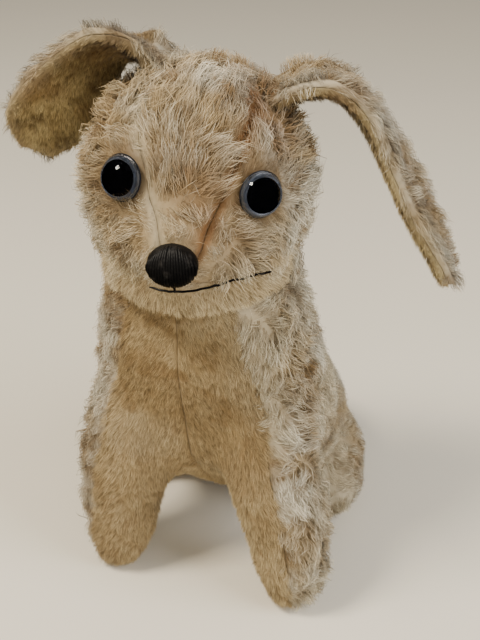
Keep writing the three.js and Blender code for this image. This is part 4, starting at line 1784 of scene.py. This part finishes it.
def thread_finish() -> bpy.types.Material:
    """Black thread of two twisted plies, worn grey in places.

    Returns:
        The material.
    """
    finish = Finish("black thread", roughness=0.55)
    finish.set("Specular IOR Level", 0.3)
    source = finish.node("ShaderNodeAttribute", attribute_name="twist")
    split = finish.node("ShaderNodeSeparateXYZ")
    finish.join(source.outputs["Vector"], split.inputs[0])
    turns = finish.node("ShaderNodeMath", operation="MULTIPLY_ADD")
    turns.inputs[1].default_value = 0.45
    finish.join(split.outputs[1], turns.inputs[0])
    finish.join(split.outputs[0], turns.inputs[2])
    phase = finish.node("ShaderNodeMath", operation="MULTIPLY")
    phase.inputs[1].default_value = 4 * math.pi
    finish.join(turns.outputs[0], phase.inputs[0])
    wave = finish.node("ShaderNodeMath", operation="SINE")
    finish.join(phase.outputs[0], wave.inputs[0])
    finish.bump(wave.outputs[0], 0.05 * MM, 0.3)
    worn = finish.ramp(finish.noise(320, detail=4), 0.52, 0.76)
    finish.color(finish.mix(worn, tone(13, 12, 12), tone(44, 41, 38)))
    return finish.material


@dataclass
class StitchedNose:
    """The nose: upright satin stitches over a felt pad. Sizes in millimetres.

    Attributes:
        half_width: of the pad.
        half_height: of the pad.
        depth: how far it stands out.
        stitches: how many threads lie side by side.
        thread: a thread's radius.
    """

    half_width: float = 8.3
    half_height: float = 6.9
    depth: float = 5.8
    stitches: int = 19
    thread: float = 0.55

    def frame_at(self) -> tuple[Vector, Vector, Vector]:
        """The pad's middle on the muzzle, and which way is left and out for it."""
        low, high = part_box("nose_stitches")
        out = -HEAD_BACK
        centre = (low + high) / 2 - out * 1.9 * MM
        return centre, HEAD_LEFT, out

    def build(self) -> None:
        """Builds and dresses the pad and its stitches."""
        centre, left, out = self.frame_at()
        rng = np.random.default_rng(31)
        deselect()
        bpy.ops.mesh.primitive_uv_sphere_add(segments=40, ring_count=24, radius=1)
        pad = bpy.context.object
        pad.name = "nose_pad"
        turn = Matrix((left, -out, UP)).transposed().to_4x4()
        size = Matrix.Diagonal((self.half_width * MM, self.depth * MM, self.half_height * MM, 1))
        pad.data.transform(Matrix.Translation(centre) @ turn @ size)
        pad.data.shade_smooth()
        paths = []
        for number in range(self.stitches):
            across = (number / (self.stitches - 1) * 2 - 1) * 0.94
            rim = math.sqrt(1 - across**2)
            lean = rng.normal(0, 0.015)
            points = []
            for step in np.linspace(-1, 1, 15):
                angle = step * math.radians(78 + rng.uniform(-3, 3))
                wide = across * (1 - 0.34 * max(step, 0) ** 2 - 0.1 * step**2) + lean * step
                points.append(centre + left * (wide * self.half_width * MM)
                              + UP * (math.sin(angle) * rim**0.8 * (self.half_height + 0.35) * MM)
                              + out * (math.cos(angle) * rim**0.7 * (self.depth + 0.3) * MM))
            paths.append(np.array([list(point) for point in points]))
        stitches = thread_piece("nose_threads", paths, self.thread * MM)
        finish = thread_finish()
        for piece in (pad, stitches):
            piece.data.materials.append(finish)
            if piece is pad:
                blank = np.zeros((len(pad.data.vertices), 3))
                store(pad, "twist", blank)
            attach(piece, "head")
        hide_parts("nose_stitches")
        log.info("nose: %d stitches over a pad", self.stitches)


@dataclass
class StitchedMouth:
    """The mouth: one long thread under the nose, and a short one up to the nose.

    Attributes:
        thread: the thread's radius in millimetres.
        stations: how many points its line has.
        sunk: how far the fur covers it, in millimetres.
    """

    thread: float = 0.42
    stations: int = 34
    sunk: float = 0.3

    def line(self) -> np.ndarray:
        """The middle of the CAD thread, from one end to the other."""
        points = coordinates(frame["nodes"]["mouth_stitches"].data)
        centred = points - np.array(NECK)
        turn = np.arctan2(centred @ np.array(HEAD_LEFT), centred @ -np.array(HEAD_BACK))
        stops = np.linspace(turn.min(), turn.max(), 13)
        rows = [points[np.abs(turn - stop) < (stops[1] - stops[0]) * 0.6].mean(0) for stop in stops]
        spots = np.interp(np.linspace(0, 12, self.stations), np.arange(13), np.arange(13))
        smooth = np.stack([np.interp(spots, np.arange(13), np.array(rows)[:, axis]) for axis in range(3)], axis=1)
        for _ in range(3):
            smooth[1:-1] = (smooth[:-2] + smooth[1:-1] * 2 + smooth[2:]) / 4
        smooth[:, 2] += np.sin(np.linspace(0, math.pi, self.stations)) * 1.3 * MM
        smooth += np.array(HEAD_BACK) * self.sunk * MM
        return smooth

    def build(self) -> None:
        """Builds and dresses the two threads."""
        rng = np.random.default_rng(12)
        line = self.line()
        line[1:-1] += rng.normal(0, 0.12 * MM, (len(line) - 2, 3))
        nose = np.array(middle("nose_stitches"))
        nearest = line[np.argmin(np.linalg.norm(line - nose, axis=1))]
        start = nose + (nearest - nose) * 0.45
        short = np.linspace(start, nearest + (nearest - nose) * 0.05, 8)
        piece = thread_piece("mouth_threads", [line, short], self.thread * MM)
        piece.data.materials.append(thread_finish())
        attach(piece, "head")
        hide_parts("mouth_stitches")
        log.info("mouth: one line and one short stitch")


# ---- The joint and wires within ----


def fibreboard_finish() -> bpy.types.Material:
    """Pressed brown board with flecks and a rough face.

    Returns:
        The material.
    """
    finish = Finish("fibreboard", roughness=0.85)
    flecks = finish.noise(1100, detail=6, roughness=0.75)
    finish.color(finish.mix(finish.ramp(flecks, 0.35, 0.7), tone(98, 66, 40), tone(150, 112, 72)))
    finish.bump(flecks, 0.15 * MM)
    return finish.material


def steel_finish() -> bpy.types.Material:
    """Drawn steel wire and stamped washers, dulled and faintly spotted.

    Returns:
        The material.
    """
    finish = Finish("steel", roughness=0.35).set("Metallic", 1.0)
    spots = finish.ramp(finish.noise(900, detail=5, roughness=0.7), 0.5, 0.75)
    finish.color(finish.mix(spots, tone(178, 176, 172), tone(126, 104, 84)))
    finish.join(finish.scaled(spots, 0.28, 0.6), finish.shader.inputs["Roughness"])
    return finish.material


def dress_inner_nodes() -> None:
    """Gives the CAD nodes that stay their finishes."""
    board, steel = fibreboard_finish(), steel_finish()
    for name, node in frame["nodes"].items():
        if node.hide_render:
            continue
        finish = board if "disc" in name else steel
        node.data.materials.clear()
        node.data.materials.append(finish)
        log.info("%s keeps its shape, in %s", name, finish.name)


# ---- Stage ----


def build_stage() -> None:
    """A plain pale floor under soft light, and the camera."""
    deselect()
    bpy.ops.mesh.primitive_plane_add(size=6)
    floor = bpy.context.object
    floor.name = "floor"
    finish = Finish("floor", roughness=0.7)
    finish.color(finish.mix(finish.noise(1.5), tone(228, 219, 200), tone(236, 228, 210)))
    floor.data.materials.append(finish.material)
    floor.visible_glossy = False
    world = bpy.data.worlds.new("studio")
    bpy.context.scene.world = world
    world.use_nodes = True
    world.node_tree.nodes["Background"].inputs["Color"].default_value = (*tone(240, 235, 224), 1)
    world.node_tree.nodes["Background"].inputs["Strength"].default_value = 0.52
    world.cycles_visibility.glossy = False
    aim = NECK + Vector((0, 0.02, -0.03))
    for name, offset, size, power, colour in (
        ("key", (-0.40, -0.45, 0.95), 0.28, 15, tone(255, 244, 226)),
        ("window", (0.85, -0.20, 0.60), 0.6, 10, tone(240, 242, 248)),
        ("fill", (0.35, -0.9, 0.35), 0.7, 3.5, tone(255, 250, 240)),
    ):
        light = bpy.data.lights.new(name, "AREA")
        light.size = size
        light.energy = power
        light.color = colour
        holder = bpy.data.objects.new(name, light)
        holder.visible_glossy = name == "key"
        holder.location = aim + Vector(offset)
        holder.rotation_euler = (aim - holder.location).to_track_quat("-Z", "Y").to_euler()
        bpy.context.scene.collection.objects.link(holder)
    place_camera()


def place_camera() -> None:
    """The camera, a little above the dog and to its left."""
    azimuth, elevation, distance = math.radians(18), math.radians(30), 0.390
    back = Vector((math.sin(azimuth) * math.cos(elevation), -math.cos(azimuth) * math.cos(elevation),
                   math.sin(elevation)))
    right = Vector((math.cos(azimuth), math.sin(azimuth), 0))
    up = back.cross(right)
    target = NECK + Vector((0, 0.024, -0.026))
    lens = bpy.data.cameras.new("camera")
    lens.lens = 54
    lens.clip_start = 0.01
    camera = bpy.data.objects.new("camera", lens)
    camera.matrix_world = Matrix.Translation(target + back * distance + right * 0.0073 - up * 0.0081) @ Matrix(
        (right, up, back)).transposed().to_4x4()
    bpy.context.scene.collection.objects.link(camera)
    bpy.context.scene.camera = camera


def main() -> None:
    """Builds every sub-assembly in order, dresses it and sets the stage."""
    logging.basicConfig(level=logging.INFO, format="%(name)s: %(message)s", stream=sys.stdout)
    noise.seed_set(DRIFT_SEED)
    finishes = {cloth: cloth_finish(cloth) for cloth in Cloth}
    mohair, plush, lining = Cloth.MOHAIR, Cloth.PLUSH, Cloth.LINING
    bags: list[Bag] = [
        Trunk("trunk", "body", [
            Panel("chest_panel_left", plush), Panel("chest_panel_right", plush),
            Panel("side_panel_left", mohair), Panel("side_panel_right", mohair),
            Panel("belly_panel", plush)], voxel=4, sunk=2.6, swell=1.4, filling="body_stuffing", seed=1, valley=0.5),
        Head("head", "head", [
            Panel("head_gusset", mohair), Panel("head_side_left", mohair),
            Panel("head_side_right", mohair), Panel("chin_panel", plush)],
            voxel=3.2, sunk=2.6, swell=1.2, filling="head_stuffing", seed=2,
            lowest=NECK.z / MM - 2.2),
        Tail("tail", "tail", [Panel("tail_upper", mohair), Panel("tail_under", plush)],
             voxel=1.8, sunk=1.4, swell=0.6, filling="tail_stuffing", seed=3),
        Ear("left ear", "ear_left", [Panel("ear_outer_left", mohair), Panel("ear_lining_left", lining)],
            voxel=1.5, sunk=0.5, swell=0, filling=None, seed=4, valley=0.1, backing=0.6,
            joint="ear_left_flop", roll=4.2),
        Ear("right ear", "ear_right", [Panel("ear_outer_right", mohair), Panel("ear_lining_right", lining)],
            voxel=1.5, sunk=0.5, swell=0, filling=None, seed=5, valley=0.1, backing=0.6,
            joint="ear_right_flop"),
    ]
    for bag in bags:
        bag.build()
        bag.dress(finishes)
        bpy.data.objects.remove(bag.surface)
    for side in ("left", "right"):
        GlassEye(side).build()
    StitchedNose().build()
    StitchedMouth().build()
    dress_inner_nodes()
    build_stage()
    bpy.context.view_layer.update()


if __name__ == "__main__":
    main()
